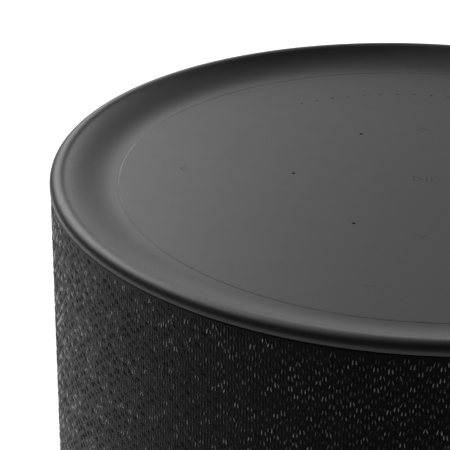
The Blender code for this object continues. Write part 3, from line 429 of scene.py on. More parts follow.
def turned(profile, steps=RING_STEPS):
    """Vertices and faces of an outline of (radius, height) turned about +Z.

    An outline that starts and ends on the axis gets its caps there; any other one is a closed ring.
    """
    solid = profile[0][0] == 0
    rings = profile[1:-1] if solid else profile
    vertices = []
    for radius, height in rings:
        for step in range(steps):
            angle = step * FULL_TURN / steps
            vertices.append((radius * math.cos(angle), radius * math.sin(angle), height))
    faces = []
    count = len(rings)
    for ring in range(count - 1 if solid else count):
        above = (ring + 1) % count
        for step in range(steps):
            following = (step + 1) % steps
            faces.append((ring * steps + step, ring * steps + following,
                          above * steps + following, above * steps + step))
    if solid:
        for pole, ring in ((profile[0], 0), (profile[-1], count - 1)):
            vertices.append((0, 0, pole[1]))
            for step in range(steps):
                faces.append((ring * steps + step, ring * steps + (step + 1) % steps, len(vertices) - 1))
    return vertices, faces


def arc(centre, radius, start, end, steps):
    """Points on a circle in the (radius, height) plane, angles in degrees."""
    points = []
    for step in range(steps + 1):
        angle = math.radians(start + (end - start) * step / steps)
        points.append((centre[0] + radius * math.cos(angle), centre[1] + radius * math.sin(angle)))
    return points


def carved(name, body_shape, cutters, joined=(), bevel=0.0):
    """The mesh of body_shape with other shapes joined and the cutters taken out. The inputs are removed."""
    others = [(other, "UNION") for other in joined] + [(cutter, "DIFFERENCE") for cutter in cutters]
    for other, operation in others:
        modifier = body_shape.modifiers.new("cut", "BOOLEAN")
        modifier.object = other
        modifier.operation = operation
        modifier.solver = "EXACT"
    if bevel:
        modifier = body_shape.modifiers.new("bevel", "BEVEL")
        modifier.width = bevel
        modifier.segments = 2
        modifier.limit_method = "ANGLE"
        modifier.angle_limit = math.radians(50)
    bpy.context.view_layer.update()
    graph = bpy.context.evaluated_depsgraph_get()
    mesh = bpy.data.meshes.new_from_object(body_shape.evaluated_get(graph))
    mesh.name = name
    edit = bmesh.new()
    edit.from_mesh(mesh)
    sliver = 0.002 * MM
    bmesh.ops.remove_doubles(edit, verts=edit.verts, dist=sliver)
    bmesh.ops.dissolve_degenerate(edit, edges=edit.edges, dist=sliver)
    edit.to_mesh(mesh)
    edit.free()
    for used in [body_shape, *joined, *cutters]:
        bpy.data.objects.remove(used)
    return mesh


def pegs(name, places, radius, bottom, top, steps=24, matrix=Matrix()):
    """One object with a cylinder along matrix's +Z at each (x, y) place."""
    edit = bmesh.new()
    for x, y in places:
        middle = Matrix.Translation((x, y, (bottom + top) / 2))
        bmesh.ops.create_cone(edit, cap_ends=True, segments=steps, radius1=radius, radius2=radius,
                              depth=top - bottom, matrix=middle)
    mesh = bpy.data.meshes.new(name)
    edit.to_mesh(mesh)
    edit.free()
    mesh.transform(matrix)
    return linked(name, mesh)


def slab(name, size, matrix, rounding=0.0, steps=4):
    """A box centred on matrix, its upright edges (along its own +Z) rounded."""
    half_x = size[0] / 2
    half_y = size[1] / 2
    outline = []
    if rounding:
        corners = ((1, 1, 0), (-1, 1, 90), (-1, -1, 180), (1, -1, 270))
        for side_x, side_y, start in corners:
            centre = (side_x * (half_x - rounding), side_y * (half_y - rounding))
            outline += arc(centre, rounding, start, start + 90, steps)
    else:
        outline = [(half_x, half_y), (-half_x, half_y), (-half_x, -half_y), (half_x, -half_y)]
    count = len(outline)
    vertices = [(x, y, z) for z in (-size[2] / 2, size[2] / 2) for x, y in outline]
    faces = [(i, (i + 1) % count, count + (i + 1) % count, count + i) for i in range(count)]
    faces += [tuple(range(count)), tuple(range(count, 2 * count))]
    made = shape(name, vertices, faces)
    made.data.transform(matrix)
    return made


def outward(angle, distance, height):
    """A frame on the side wall: +Z out, +Y up and +X round the wall."""
    out = Vector((math.cos(angle), math.sin(angle), 0))
    up = Vector((0, 0, 1))
    side = up.cross(out)
    turn = Matrix((side, up, out)).transposed().to_4x4()
    return Matrix.Translation(out * distance + up * height) @ turn


def ring_places(count, radius, start=0.0, pitch=None):
    """Evenly spaced (x, y) places on a ring, all the way round unless a pitch is given."""
    pitch = FULL_TURN / count if pitch is None else pitch
    turns = [start + i * pitch for i in range(count)]
    return [(radius * math.cos(turn), radius * math.sin(turn)) for turn in turns]


# ---------------------------------------------------------------- the top


seam = (trim_high.x + panel_high.x + GAP) / 2
panel_top = panel_high.z
panel_bottom = panel_low.z
fabric_top = fabric_high.z
rim_bottom = fabric_top + GAP
rim_underside = grille_high.z + GAP
first_light = FULL_TURN / 4 - LIGHT_PITCH * (LIGHTS - 1) / 2
light_places = ring_places(LIGHTS, LIGHT_RING, first_light, LIGHT_PITCH)


def rim_slope(start):
    """The dish's outer slope, a power curve that runs on smoothly into the crest's oval.

    Its points come with the angle on the oval, from its top inwards, at which they meet.
    """
    tilt = 0.0
    for _ in range(30):
        lean = math.atan(RIM_CREST / CREST_HEIGHT * math.tan(tilt))
        run = RADIUS - RIM_CREST - RIM_CREST * math.sin(lean) - start
        rise = HEIGHT - panel_top - CREST_HEIGHT * (1 - math.cos(lean))
        tilt = math.atan(RIM_SLOPE_POWER * rise / run)
    shares = [i / RIM_SLOPE_STEPS for i in range(RIM_SLOPE_STEPS + 1)]
    return [(start + run * share, panel_top + rise * share ** RIM_SLOPE_POWER) for share in shares], lean


def make_rim(material):
    inner = seam + LINE_WIDTH / 2 + SEAM_CLEARANCE
    slope, lean = rim_slope(trim_high.x + GAP + RIM_FLAT)
    crest = [(RADIUS - RIM_CREST + RIM_CREST * x, HEIGHT - CREST_HEIGHT + CREST_HEIGHT * z)
             for x, z in arc((0, 0), 1, 90 + math.degrees(lean), 0, CREST_STEPS)]
    spigot = grille_high.x - 2 * GAP
    root_inner = panel_high.x - 2 * GAP
    profile = [(inner, panel_top - SEAM_EDGE), (inner + SEAM_EDGE, panel_top)] + slope + crest[1:]
    profile += [
        (RADIUS, rim_bottom + RIM_EDGE),
        (RADIUS - RIM_EDGE, rim_bottom),
        (spigot, rim_bottom),
        (spigot, rim_underside),
        (root_inner + RIM_ROOT_WIDTH, rim_underside),
        (root_inner + RIM_ROOT_WIDTH, rim_low.z),
        (root_inner + RIM_THROAT, rim_low.z),
        (root_inner + RIM_THROAT, panel_bottom),
        (inner, panel_bottom),
    ]
    piece = add_mesh("top_rim_shell", *turned(profile, FINE_STEPS), material, 40)
    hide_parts("top_rim")


def make_line(material):
    """The fine line between rim and panel, a little proud of both."""
    inner = seam - LINE_WIDTH / 2
    outer = seam + LINE_WIDTH / 2
    top = panel_top + LINE_PROUD
    profile = [(inner, panel_bottom), (inner, top - LINE_ROUNDING), (inner + LINE_ROUNDING, top),
               (outer - LINE_ROUNDING, top), (outer, top - LINE_ROUNDING), (outer, panel_bottom)]
    piece = add_mesh("seam_line", *turned(profile, FINE_STEPS), material)
    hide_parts("seam_trim")


def make_panel(material):
    """The touch panel, with its microphone holes and light windows cut through."""
    edge = seam - LINE_WIDTH / 2 - SEAM_CLEARANCE
    profile = [(0, panel_bottom), (edge, panel_bottom), (edge, panel_top - SEAM_EDGE),
               (edge - SEAM_EDGE, panel_top), (edge - PANEL_BORDER, panel_top), (0, panel_top)]
    disc = shape("panel_disc", *turned(profile, RING_STEPS))
    below = panel_bottom - 1 * MM
    above = panel_top + 1 * MM
    holes = pegs("mic_holes", ring_places(MICROPHONES, MIC_RING), MIC_RADIUS, below, above)
    windows = pegs("windows", light_places, LIGHT_RADIUS, below, above)
    piece = finished("touch_panel_disc", carved("touch_panel_disc", disc, [holes, windows]), material, 20)
    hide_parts("touch_panel")


def make_windows(material):
    """A small clear plug in each light window, sunk a little and slightly domed."""
    radius = LIGHT_RADIUS - SEAM_CLEARANCE
    top = panel_top - LIGHT_SUNK
    bottom = panel_bottom + 0.1 * MM
    profile = [(0, bottom), (radius, bottom), (radius, top - LIGHT_DOME),
               (0.7 * radius, top - LIGHT_DOME / 4), (0, top)]
    plug_vertices, plug_faces = turned(profile, 16)
    vertices = []
    faces = []
    for x, y in light_places:
        start = len(vertices)
        vertices += [(px + x, py + y, pz) for px, py, pz in plug_vertices]
        faces += [tuple(start + i for i in face) for face in plug_faces]
    piece = add_mesh("light_windows", vertices, faces, material)


def stroke_line(points, closed=False):
    """Round-ended ink strokes along (x, y) points, as outlines of (x, y)."""
    outlines = []
    pairs = list(zip(points, points[1:] + points[:1])) if closed else list(zip(points, points[1:]))
    for (ax, ay), (bx, by) in pairs:
        heading = math.degrees(math.atan2(by - ay, bx - ax))
        outlines.append(arc((bx, by), STROKE / 2, heading - 90, heading + 90, 8)
                        + arc((ax, ay), STROKE / 2, heading + 90, heading + 270, 8))
    return outlines


def make_marks(name, outlines, material):
    """Ink on the panel. Each outline is a closed loop of (x, y).

    Outlines that cross follow each other, and each of a few in turn lies a hair higher.
    """
    vertices = []
    faces = []
    for layer, outline in enumerate(outlines):
        start = len(vertices)
        count = len(outline)
        top = panel_top + INK_HEIGHT + layer % INK_STEPS * INK_STEP
        vertices += [(x, y, z) for z in (panel_top - INK_HEIGHT, top) for x, y in outline]
        faces += [(start + i, start + (i + 1) % count, start + count + (i + 1) % count, start + count + i)
                  for i in range(count)]
        faces += [tuple(start + i for i in range(count)), tuple(start + count + i for i in range(count))]
    piece = add_mesh(name, vertices, faces, material)


def chevron(angle, distance):
    """A bent stroke that points away from the middle of the panel."""
    width, depth = CHEVRON
    out = Vector((math.cos(angle), math.sin(angle)))
    side = Vector((-out.y, out.x))
    middle = out * distance
    points = [middle - out * depth / 2 + side * width / 2, middle + out * depth / 2,
              middle - out * depth / 2 - side * width / 2]
    return stroke_line([tuple(p) for p in points])


def make_icons(material):
    """Up, down, back and next round the middle, where a triangle and two bars mean play."""
    for name, quarter, distance in (("mark_up", 1, ICON_RING), ("mark_down", 3, ICON_RING),
                                    ("mark_back", 2, SIDE_ICON_RING), ("mark_next", 0, SIDE_ICON_RING)):
        make_marks(name, chevron(quarter * FULL_TURN / 4, distance), material)
    triangle = [(-2.1 * MM, -1.35 * MM), (0.3 * MM, 0), (-2.1 * MM, 1.35 * MM)]
    bars = [stroke_line([(x, -1.2 * MM), (x, 1.2 * MM)])[0] for x in (1.1 * MM, 2.1 * MM)]
    make_marks("mark_play", stroke_line(triangle, closed=True) + bars, material)


def make_front_marks(material):
    """A faint dot and a short dash with a dot near the front edge of the panel."""
    outlines = []
    marks = ((-122, 57 * MM, 0.1 * MM), (-101.8, 58 * MM, 0.5 * MM), (-100.2, 58 * MM, 0.1 * MM))
    for angle, distance, reach in marks:
        turn = math.radians(angle)
        x = distance * math.cos(turn)
        y = distance * math.sin(turn)
        along = (-math.sin(turn) * reach, math.cos(turn) * reach)
        outlines += stroke_line([(x - along[0], y - along[1]), (x + along[0], y + along[1])])
    make_marks("front_marks", outlines, material)


# ---------------------------------------------------------------- the sleeve


def wale_count():
    """An even number of stitches round the sleeve."""
    return 2 * round(FULL_TURN * RADIUS / WALE / 2)


def make_sleeve(material):
    """The knitted tube itself: a thin closed wall, turned in at its ends."""
    rounding = (knit_surface - grille_high.x - GAP - 0.05 * MM) / 2
    middle = knit_surface - rounding
    profile = arc((middle, fabric_top - rounding), rounding, 0, 180, 6)
    profile += arc((middle, fabric_low.z + rounding), rounding, 180, 360, 6)
    piece = add_mesh("knit_sleeve", *turned(profile, FINE_STEPS), material, 60)
    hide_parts("fabric_sleeve")
    return piece


def stitch_shades(random, wales, courses):
    """How bright each stitch's yarn is, from 0 to 1: mostly chance, partly what its neighbours are."""
    own = random.random((wales, courses))
    patch = random.random((wales, courses))
    for _ in range(2):
        patch = (patch + np.roll(patch, 1, 0) + np.roll(patch, 1, 1) + np.roll(patch, (1, 1), (0, 1))) / 4
    patch = (patch - patch.mean()) / patch.std() / 4 + 0.5
    mixed = (0.62 * own + 0.38 * patch).ravel()
    return (mixed.argsort().argsort() / mixed.size).reshape(wales, courses)


def yarn_legs():
    """Each bright leg of the knit: its shade, from about 0 to 1, and the ten corners of its spindle.

    Every second stitch of a checkerboard has two short leaning legs. Stitches stray from the
    grid, and each leg strays a little from its stitch in place, lean, size and shade.
    """
    random = np.random.default_rng(YARN_SEED)
    wales = wale_count()
    bottom = fabric_low.z + YARN_LENGTH / 2
    courses = int((fabric_top - YARN_LENGTH / 2 - bottom) / COURSE) + 1
    shades = stitch_shades(random, wales, courses)
    wale, course = np.meshgrid(np.arange(wales), np.arange(courses), indexing="ij")
    chosen = (wale + course) % 2 == 0
    wale = wale[chosen].repeat(2).astype(float)
    course = course[chosen].repeat(2).astype(float)
    side = np.tile([-1.0, 1.0], len(wale) // 2)
    count = len(wale)
    shade = shades[chosen].repeat(2) + random.normal(0, 0.12, count)
    strayed = random.normal(0, 0.11 * MM, count // 2).repeat(2) + random.normal(0, 0.05 * MM, count)
    angle = FULL_TURN * (wale + 0.5) / wales + (side * LEG_OFFSET + strayed) / RADIUS
    risen = random.normal(0, 0.18 * MM, count // 2).repeat(2) + random.normal(0, 0.05 * MM, count)
    height = bottom + course * COURSE + risen
    lean = random.normal(0, math.radians(7), count) - side * LEG_LEAN
    length = YARN_LENGTH * random.uniform(0.6, 1.0, count)
    width = YARN_WIDTH * random.uniform(0.75, 1.1, count)
    proud = YARN_PROUD * random.uniform(0.75, 1.0, count)
    height = np.clip(height, fabric_low.z + length / 2, fabric_top - length / 2)

    out = np.stack([np.cos(angle), np.sin(angle), np.zeros(count)], 1)
    round_way = np.stack([-np.sin(angle), np.cos(angle), np.zeros(count)], 1)
    up = np.array([0.0, 0.0, 1.0])
    along = round_way * np.sin(lean)[:, None] + up * np.cos(lean)[:, None]
    across = round_way * np.cos(lean)[:, None] - up * np.sin(lean)[:, None]
    middle = out * knit_surface + up * height[:, None]
    lifted = out * 0.04 * MM
    points = [middle + along * length[:, None] / 2, middle - along * length[:, None] / 2]
    for end in (0.27, -0.27):
        centre = middle + along * length[:, None] * end
        points += [
            centre + out * proud[:, None],
            centre + across * width[:, None] / 2 + lifted,
            centre - out * YARN_SUNK,
            centre - across * width[:, None] / 2 + lifted,
        ]
    return shade, np.stack(points, 1)


def yarn_mesh(name, corners):
    """One mesh of closed spindles: a tip, two rings of four corners and another tip."""
    sides = [(i, (i + 1) % 4) for i in range(4)]
    triangles = [(2 + b, 2 + a, 0) for a, b in sides] + [(6 + a, 6 + b, 1) for a, b in sides]
    quads = [(2 + b, 6 + b, 6 + a, 2 + a) for a, b in sides]
    count = len(corners)
    start = corners.shape[1] * np.arange(count)[:, None, None]
    loops = np.concatenate([(np.array(faces)[None] + start).ravel() for faces in (triangles, quads)])
    totals = np.repeat([3, 4], [len(triangles) * count, len(quads) * count])
    mesh = bpy.data.meshes.new(name)
    mesh.vertices.add(corners.shape[1] * count)
    mesh.vertices.foreach_set("co", corners.astype(np.float32).ravel())
    mesh.loops.add(len(loops))
    mesh.loops.foreach_set("vertex_index", loops.astype(np.int32))
    mesh.polygons.add(len(totals))
    mesh.polygons.foreach_set("loop_start", (np.cumsum(totals) - totals).astype(np.int32))
    mesh.update(calc_edges=True)
    return mesh


def make_yarn(materials, shares):
    """The bright yarn of the knit, each leg in one of the materials by its shade."""
    shade, corners = yarn_legs()
    below_all, above_all = -9.0, 9.0
    limits = np.concatenate([[below_all], np.cumsum(shares)[:-1], [above_all]])
    pieces = []
    for number, material in enumerate(materials):
        mine = corners[(shade >= limits[number]) & (shade < limits[number + 1])]
        mesh = yarn_mesh(f"knit_yarn_{number + 1}", mine)
        mesh.materials.append(material)
        mesh.shade_smooth()
        piece = linked(mesh.name, mesh)
        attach(piece, "housing")
        pieces.append(piece)
    return pieces


# ---------------------------------------------------------------- the base


skirt_radius = base_high.x
skirt_top = fabric_low.z - GAP
base_bottom = base_low.z
floor_top = base_bottom + BASE_FLOOR
rear_height = (inlet_low.z + inlet_high.z) / 2
button_frame = outward(FULL_TURN / 4 + CONTROL_ANGLE, skirt_radius, rear_height)
slider_frame = outward(FULL_TURN / 4 - CONTROL_ANGLE, skirt_radius, rear_height)
screw_names = [f"base_screw_{number}" for number in (1, 2, 3)]


def middle_of(node):
    """The (x, y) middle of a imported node."""
    low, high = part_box(node)
    return (low.x + high.x) / 2, (low.y + high.y) / 2


def make_base(material):
    """The base: a skirt with a rounded foot, a groove for the foot ring, and openings at the back."""
    inner = skirt_radius - SKIRT_WALL
    flange = skirt_top - FLANGE
    foot_inner = foot_high.x - FOOT_WIDTH - GAP
    groove_top = foot_high.z + GAP
    profile = [
        (0, floor_top),
        (inner, floor_top),
        (inner, flange),
        (LIP_RADIUS - LIP_WALL, flange),
        (LIP_RADIUS - LIP_WALL, base_high.z),
        (LIP_RADIUS, base_high.z),
        (LIP_RADIUS, skirt_top),
    ]
    profile += arc((skirt_radius - SKIRT_EDGE, skirt_top - SKIRT_EDGE), SKIRT_EDGE, 90, 0, 4)
    foot_middle = (skirt_radius - SKIRT_ROUNDING, base_bottom + SKIRT_ROUNDING)
    profile += arc(foot_middle, SKIRT_ROUNDING, 0, -90, 8)
    profile += [
        (foot_high.x + GAP, base_bottom),
        (foot_high.x + GAP, groove_top),
        (foot_inner, groove_top),
        (foot_inner, base_bottom),
        (0, base_bottom),
    ]
    shell = shape("base_turned", *turned(profile))
    screws = [middle_of(name) for name in screw_names]
    recess_top = base_bottom + SCREW_HEAD_HEIGHT + GAP
    rear = outward(FULL_TURN / 4, skirt_radius, rear_height)
    inlet_size = (inlet_high.x - inlet_low.x + 2 * GAP, inlet_high.z - inlet_low.z + 2 * GAP, 4 * SKIRT_WALL)
    slot_size = (KNOB_SIZE[0] + SLIDER_TRAVEL + 2 * GAP, KNOB_SIZE[1] + 2 * GAP, 4 * SKIRT_WALL)
    slot_place = slider_frame @ Matrix.Translation((-SLIDER_TRAVEL / 2, 0, 0))
    button_reach = 2 * SKIRT_WALL
    cutters = [
        pegs("head_recesses", screws, SCREW_HEAD_RADIUS + GAP, 0, recess_top, 48),
        pegs("screw_holes", screws, SCREW_RADIUS + GAP, 0, 2 * floor_top, 24),
        slab("inlet_hole", inlet_size, rear, 1.3 * MM, 6),
        pegs("button_hole", [(0, 0)], BUTTON_RADIUS + GAP, -button_reach, button_reach, 48, button_frame),
        slab("slider_slot", slot_size, slot_place, 0.8 * MM, 5),
    ]
    piece = finished("base_skirt", carved("base_skirt", shell, cutters), material, 40)
    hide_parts("base_shell")


def make_foot(material):
    """A ring of rubber with rounded edges and fine grooves round its underside."""
    outer = foot_high.x
    inner = outer - FOOT_WIDTH
    edge = FOOT_EDGE
    profile = [(inner, foot_high.z), (outer, foot_high.z)] + arc((outer - edge, edge), edge, 0, -90, 5)
    for number in range(FOOT_GROOVES):
        middle = outer - FOOT_WIDTH * (number + 1) / (FOOT_GROOVES + 1)
        profile += arc((middle, 0), FOOT_GROOVE_RADIUS, 0, 180, 6)
    profile += arc((inner + edge, edge), edge, -90, -180, 5)
    piece = add_mesh("foot_ring", *turned(profile), material)
    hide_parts("foot_pad")


def make_inlet(material):
    """The mains socket: a block with a round-ended well, its edges softened."""
    depth = inlet_high.y - inlet_low.y
    front = outward(FULL_TURN / 4, inlet_high.y, rear_height)
    size = (inlet_high.x - inlet_low.x, inlet_high.z - inlet_low.z, depth)
    block = slab("inlet_block", size, front @ Matrix.Translation((0, 0, -depth / 2)), 1.0 * MM, 6)
    well = slab("inlet_well", (*SOCKET_SIZE, 2 * SOCKET_DEPTH), front, SOCKET_SIZE[1] / 2 - 0.05 * MM, 10)
    piece = finished("inlet_socket", carved("inlet_socket", block, [well], bevel=0.2 * MM), material, 40)
    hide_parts("power_inlet")


def make_button(material):
    """The reset button: a slightly hollowed cap with a collar behind the skirt."""
    collar_top = -SKIRT_WALL - 2 * GAP
    edge = BUTTON_ROUNDING
    profile = [(0, BUTTON_PROUD - BUTTON_HOLLOW), (0.9 * MM, BUTTON_PROUD - 0.8 * BUTTON_HOLLOW),
               (1.6 * MM, BUTTON_PROUD - 0.2 * BUTTON_HOLLOW)]
    profile += arc((BUTTON_RADIUS - edge, BUTTON_PROUD - edge), edge, 90, 0, 6)
    profile += [
        (BUTTON_RADIUS, collar_top),
        (BUTTON_RADIUS + BUTTON_COLLAR, collar_top),
        (BUTTON_RADIUS + BUTTON_COLLAR, collar_top - BUTTON_COLLAR_THICKNESS),
        (BUTTON_RADIUS, collar_top - BUTTON_COLLAR_THICKNESS),
        (BUTTON_RADIUS, BUTTON_PROUD - BUTTON_LENGTH),
        (0, BUTTON_PROUD - BUTTON_LENGTH),
    ]
    cap = shape("reset_cap", *turned(profile, 48))
    cap.data.transform(button_frame)
    piece = finished("reset_cap_piece", carved("reset_cap_piece", cap, []), material, 40, "reset_button")
    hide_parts("reset_button")


def make_slider(material):
    """The mute switch: a ribbed knob on a plate that slides behind the skirt."""
    plate_middle = -SKIRT_WALL - 3 * GAP - SLIDER_PLATE[2] / 2
    knob_height = KNOB_PROUD - plate_middle
    plate_place = slider_frame @ Matrix.Translation((0, 0, plate_middle))
    plate = slab("slider_plate", SLIDER_PLATE, plate_place, 0.6 * MM)
    place = Matrix.Translation((0, 0, (KNOB_PROUD + plate_middle) / 2))
    knob = slab("slider_knob", (*KNOB_SIZE, knob_height), slider_frame @ place, 0.5 * MM)
    grooves = []
    for x in (-KNOB_GROOVE_PITCH, 0, KNOB_GROOVE_PITCH):
        groove_place = slider_frame @ Matrix.Translation((x, 0, KNOB_PROUD))
        grooves.append(slab("groove", KNOB_GROOVE, groove_place))
    mesh = carved("mute_knob", plate, grooves, joined=[knob], bevel=0.08 * MM)
    piece = finished("mute_knob", mesh, material, 40, "mute_slider")
    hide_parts("mute_slider")


def make_screws(material):
    """Pan-head screws that point up into the cabinet's legs, with a cross in each head."""
    for name in screw_names:
        x, y = middle_of(name)
        low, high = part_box(name)
        head_top = low.z + SCREW_HEAD_HEIGHT
        edge = SCREW_HEAD_ROUNDING
        profile = [(0, high.z), (SCREW_RADIUS - SCREW_POINT[0], high.z),
                   (SCREW_RADIUS, high.z - SCREW_POINT[1]), (SCREW_RADIUS, head_top),
                   (SCREW_HEAD_RADIUS, head_top)]
        profile += arc((SCREW_HEAD_RADIUS - edge, low.z + edge), edge, 0, -90, 6) + [(0, low.z)]
        blank = shape("screw_blank", *turned(profile, 32))
        bottom = Matrix.Translation((0, 0, low.z))
        cross = [slab("cross", SCREW_CROSS, bottom @ Matrix.Rotation(turn, 4, "Z"))
                 for turn in (0, FULL_TURN / 4)]
        mesh = carved(name + "_cross", blank, cross)
        mesh.transform(Matrix.Translation((x, y, 0)))
        piece = finished(name + "_cross", mesh, material, 40)
        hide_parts(name)


# ---------------------------------------------------------------- stage


def make_floor():
    """A pale paper floor."""
    side = [FLOOR_SIZE * (i / FLOOR_STEPS - 0.5) for i in range(FLOOR_STEPS + 1)]
    vertices = [(x, y, 0) for y in side for x in side]
    row = FLOOR_STEPS + 1
    faces = [(j * row + i, j * row + i + 1, (j + 1) * row + i + 1, (j + 1) * row + i)
             for j in range(FLOOR_STEPS) for i in range(FLOOR_STEPS)]
    finish = Finish("floor_paper", (0.86, 0.86, 0.86), 0.9, specular=0.1)
    finish.tone(finish.noise(0.4, 2), 0.01)
    mesh = bpy.data.meshes.new("floor")
    mesh.from_pydata(vertices, [], faces)
    mesh.materials.append(finish.material)
    floor = linked("floor", mesh)
    return floor


def make_light(name, place, target, size, power, only=None):
    """A square area light, which lights the whole scene or only what is in a collection."""
    lamp = bpy.data.lights.new(name, "AREA")
    lamp.shape = "SQUARE"
    lamp.size = size
    lamp.energy = power
    light = linked(name, lamp)
    light.location = place
    light.rotation_euler = (Vector(target) - Vector(place)).to_track_quat("-Z", "Y").to_euler()
    light.visible_camera = False
    if only:
        light.light_linking.receiver_collection = only


def collected(name, pieces):
    """A collection that a light can be limited to."""
    made = bpy.data.collections.new(name)
    for piece in pieces:
        made.objects.link(piece)
    return made


def make_soft_box(name, azimuth, elevation, distance, size, power, only=None):
    """A light that faces the top, in degrees of azimuth from +Y towards -X and of elevation."""
    target = Vector((0, 0, HEIGHT))
    turn = math.radians(azimuth)
    rise = math.radians(elevation)
    way = Vector((-math.sin(turn) * math.cos(rise), math.cos(turn) * math.cos(rise), math.sin(rise)))
    make_light(name, target + way * distance, target, size, power, only)


def make_lights(floor, cloth):
    """Soft boxes behind the object, which its satin top mirrors, strongest at the back left.

    The floor has lights of its own, so that it stays pale, and one more light rakes the cloth.
    """
    stage = collected("floor_only", [floor])
    make_light("floor_back", (-0.3, 0.8, 1.2), (-0.3, 0.8, 0), 1.2, 12.0, stage)
    make_light("floor_left", (-0.9, 0.2, 0.9), (-0.9, 0.2, 0), 0.8, 2.2, stage)
    make_light("floor_right", (0.9, 0.5, 1.4), (0.9, 0.5, 0), 1.0, 2.0, stage)
    make_light("floor_front", (0.1, -1.7, 1.0), (0.1, -1.7, 0), 1.6, 11.0, stage)
    for box in SOFT_BOXES:
        make_soft_box(*box)
    make_soft_box(*CLOTH_LIGHT, collected("cloth_only", cloth))
    world = bpy.data.worlds.new("studio")
    world.use_nodes = True
    nodes = world.node_tree.nodes
    background = nodes["Background"]
    background.inputs["Color"].default_value = (1, 1, 1, 1)
    path = nodes.new("ShaderNodeLightPath")
    world.node_tree.links.new(path.outputs["Is Camera Ray"], background.inputs["Strength"])
    bpy.context.scene.world = world


def make_camera():
    """A long lens in front of the object, a little above it."""
    lens = bpy.data.cameras.new("camera")
    lens.lens = LENS
    lens.sensor_width = SENSOR
    lens.clip_start = 0.01
    lens.clip_end = 20
    camera = linked("camera", lens)
    camera.location = Vector((0, 0, HEIGHT)) + CAMERA_PLACE * RADIUS
    level = Matrix.Rotation(CAMERA_PAN, 4, "Z") @ Matrix.Rotation(FULL_TURN / 4 - CAMERA_TILT, 4, "X")
    camera.rotation_euler = (level @ Matrix.Rotation(CAMERA_ROLL, 4, "Z")).to_euler()
    bpy.context.scene.camera = camera
    bpy.context.scene.view_settings.view_transform = "Standard"


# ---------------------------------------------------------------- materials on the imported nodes


def dress(material, *names):
    """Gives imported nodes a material."""
    for name in names:
        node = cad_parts[name]
        node.data.materials.clear()
        node.data.materials.append(material)


rim_plastic = moulded("rim_plastic", (0.049, 0.049, 0.050), 0.44, grain=0.25 * MM, depth=0.006 * MM)
panel_plastic = moulded("panel_plastic", (0.046, 0.046, 0.047), 0.45, grain=0.25 * MM, depth=0.006 * MM)
line_plastic = moulded("line_plastic", (0.10, 0.10, 0.10), 0.4)
window_plastic = moulded("window_plastic", (0.012, 0.012, 0.013), 0.3)
base_plastic = moulded("base_plastic", (0.016, 0.016, 0.0165), 0.5, grain=0.4 * MM, depth=0.02 * MM)
control_plastic = moulded("control_plastic", (0.03, 0.03, 0.031), 0.38)
socket_plastic = moulded("socket_plastic", (0.01, 0.01, 0.0105), 0.34)
inner_plastic = moulded("inner_plastic", (0.02, 0.02, 0.021), 0.55)
cabinet_plastic = moulded("cabinet_plastic", (0.035, 0.035, 0.037), 0.6, grain=0.6 * MM, depth=0.02 * MM)
milky_plastic = moulded("milky_plastic", (0.75, 0.76, 0.76), 0.4)
vinyl_sleeve = moulded("vinyl_sleeve", (0.02, 0.025, 0.05), 0.35)
foot_rubber = rubbery("foot_rubber", (0.012, 0.012, 0.012))
surround_rubber = rubbery("surround_rubber", (0.018, 0.018, 0.018))
gasket_foam = rubbery("gasket_foam", (0.03, 0.03, 0.032))
steel = brushed("screw_steel", (0.42, 0.42, 0.43), 0.35)
tinned_steel = brushed("tinned_steel", (0.62, 0.62, 0.6), 0.32, (14, 1, 1))
plated_steel = brushed("plated_steel", (0.5, 0.5, 0.52), 0.38, (3, 3, 1))
aluminium = brushed("bare_aluminium", (0.76, 0.77, 0.78), 0.36, (1, 14, 1))
brass = brushed("pin_brass", (0.78, 0.57, 0.26), 0.28)
copper = brushed("coil_copper", (0.72, 0.33, 0.16), 0.3, (1, 1, 10))
board_green = circuit("board_green", (0.012, 0.07, 0.035))
antenna_film = circuit("antenna_film", (0.09, 0.05, 0.02))
ribbon_film = banded("ribbon_cores", (0.32, 0.33, 0.34), (0.72, 0.72, 0.7), 1.0 * MM, "X")
winding_tape = banded("winding_tape", (0.34, 0.2, 0.03), (0.62, 0.44, 0.07), 5.0 * MM, "Z")
spider_cloth = woven_cloth("dipped_cloth", (0.42, 0.29, 0.12))
cone_pulp = pulp("cone_pulp", (0.03, 0.03, 0.031))
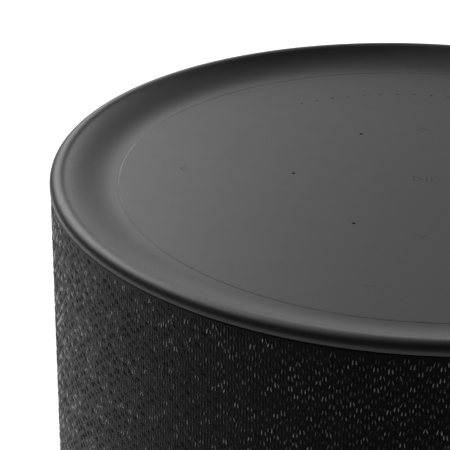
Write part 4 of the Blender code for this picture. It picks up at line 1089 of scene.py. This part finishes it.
ink = printed("panel_ink", (0.02, 0.02, 0.021))
faint_ink = printed("faint_ink", (0.03, 0.03, 0.031))

make_camera()
floor = make_floor()
make_rim(rim_plastic)
make_line(line_plastic)
make_panel(panel_plastic)
make_windows(window_plastic)
make_icons(ink)
make_front_marks(faint_ink)
sleeve = make_sleeve(knit_ground("knit_ground", (0.0055, 0.0055, 0.0057)))
yarns = make_yarn([
    yarn("yarn_black", (0.012, 0.012, 0.0125), 0.65),
    yarn("yarn_charcoal", (0.035, 0.035, 0.036), 0.6),
    yarn("yarn_slate", (0.08, 0.08, 0.081), 0.55),
    yarn("yarn_grey", (0.15, 0.15, 0.152), 0.5),
    yarn("yarn_silver", (0.36, 0.36, 0.364), 0.45),
], (0.19, 0.19, 0.21, 0.21, 0.20))
make_lights(floor, [sleeve, *yarns])
make_base(base_plastic)
make_foot(foot_rubber)
make_inlet(socket_plastic)
make_button(control_plastic)
make_slider(control_plastic)
make_screws(steel)

sides = (1, 2, 3)
dress(brass, "inlet_pin_left", "inlet_pin_right")
dress(board_green, "control_board", "power_board", "main_board", "touch_board")
dress(winding_tape, "transformer")
dress(vinyl_sleeve, "bulk_capacitor")
dress(tinned_steel, "shield_can", *[f"microphone_{number + 1}" for number in range(MICROPHONES)])
dress(aluminium, "heat_sink")
dress(antenna_film, "antenna_left", "antenna_right")
dress(ribbon_film, "ribbon_cable")
dress(cabinet_plastic, "cabinet_shell", "cabinet_lid", "top_frame")
dress(inner_plastic, "grille_tube", "woofer_frame", *[f"side_driver_frame_{side}" for side in sides])
dress(plated_steel, "woofer_motor", *[f"side_driver_motor_{side}" for side in sides])
dress(copper, "woofer_coil")
dress(spider_cloth, "woofer_spider")
dress(cone_pulp, "woofer_cone", "woofer_dust_cap", *[f"side_driver_cone_{side}" for side in sides])
dress(surround_rubber, "woofer_surround", *[f"side_driver_surround_{side}" for side in sides])
dress(steel, *[f"rim_screw_{number}" for number in (1, 2, 3)])
dress(gasket_foam, "mic_gasket")
dress(milky_plastic, "light_guide")
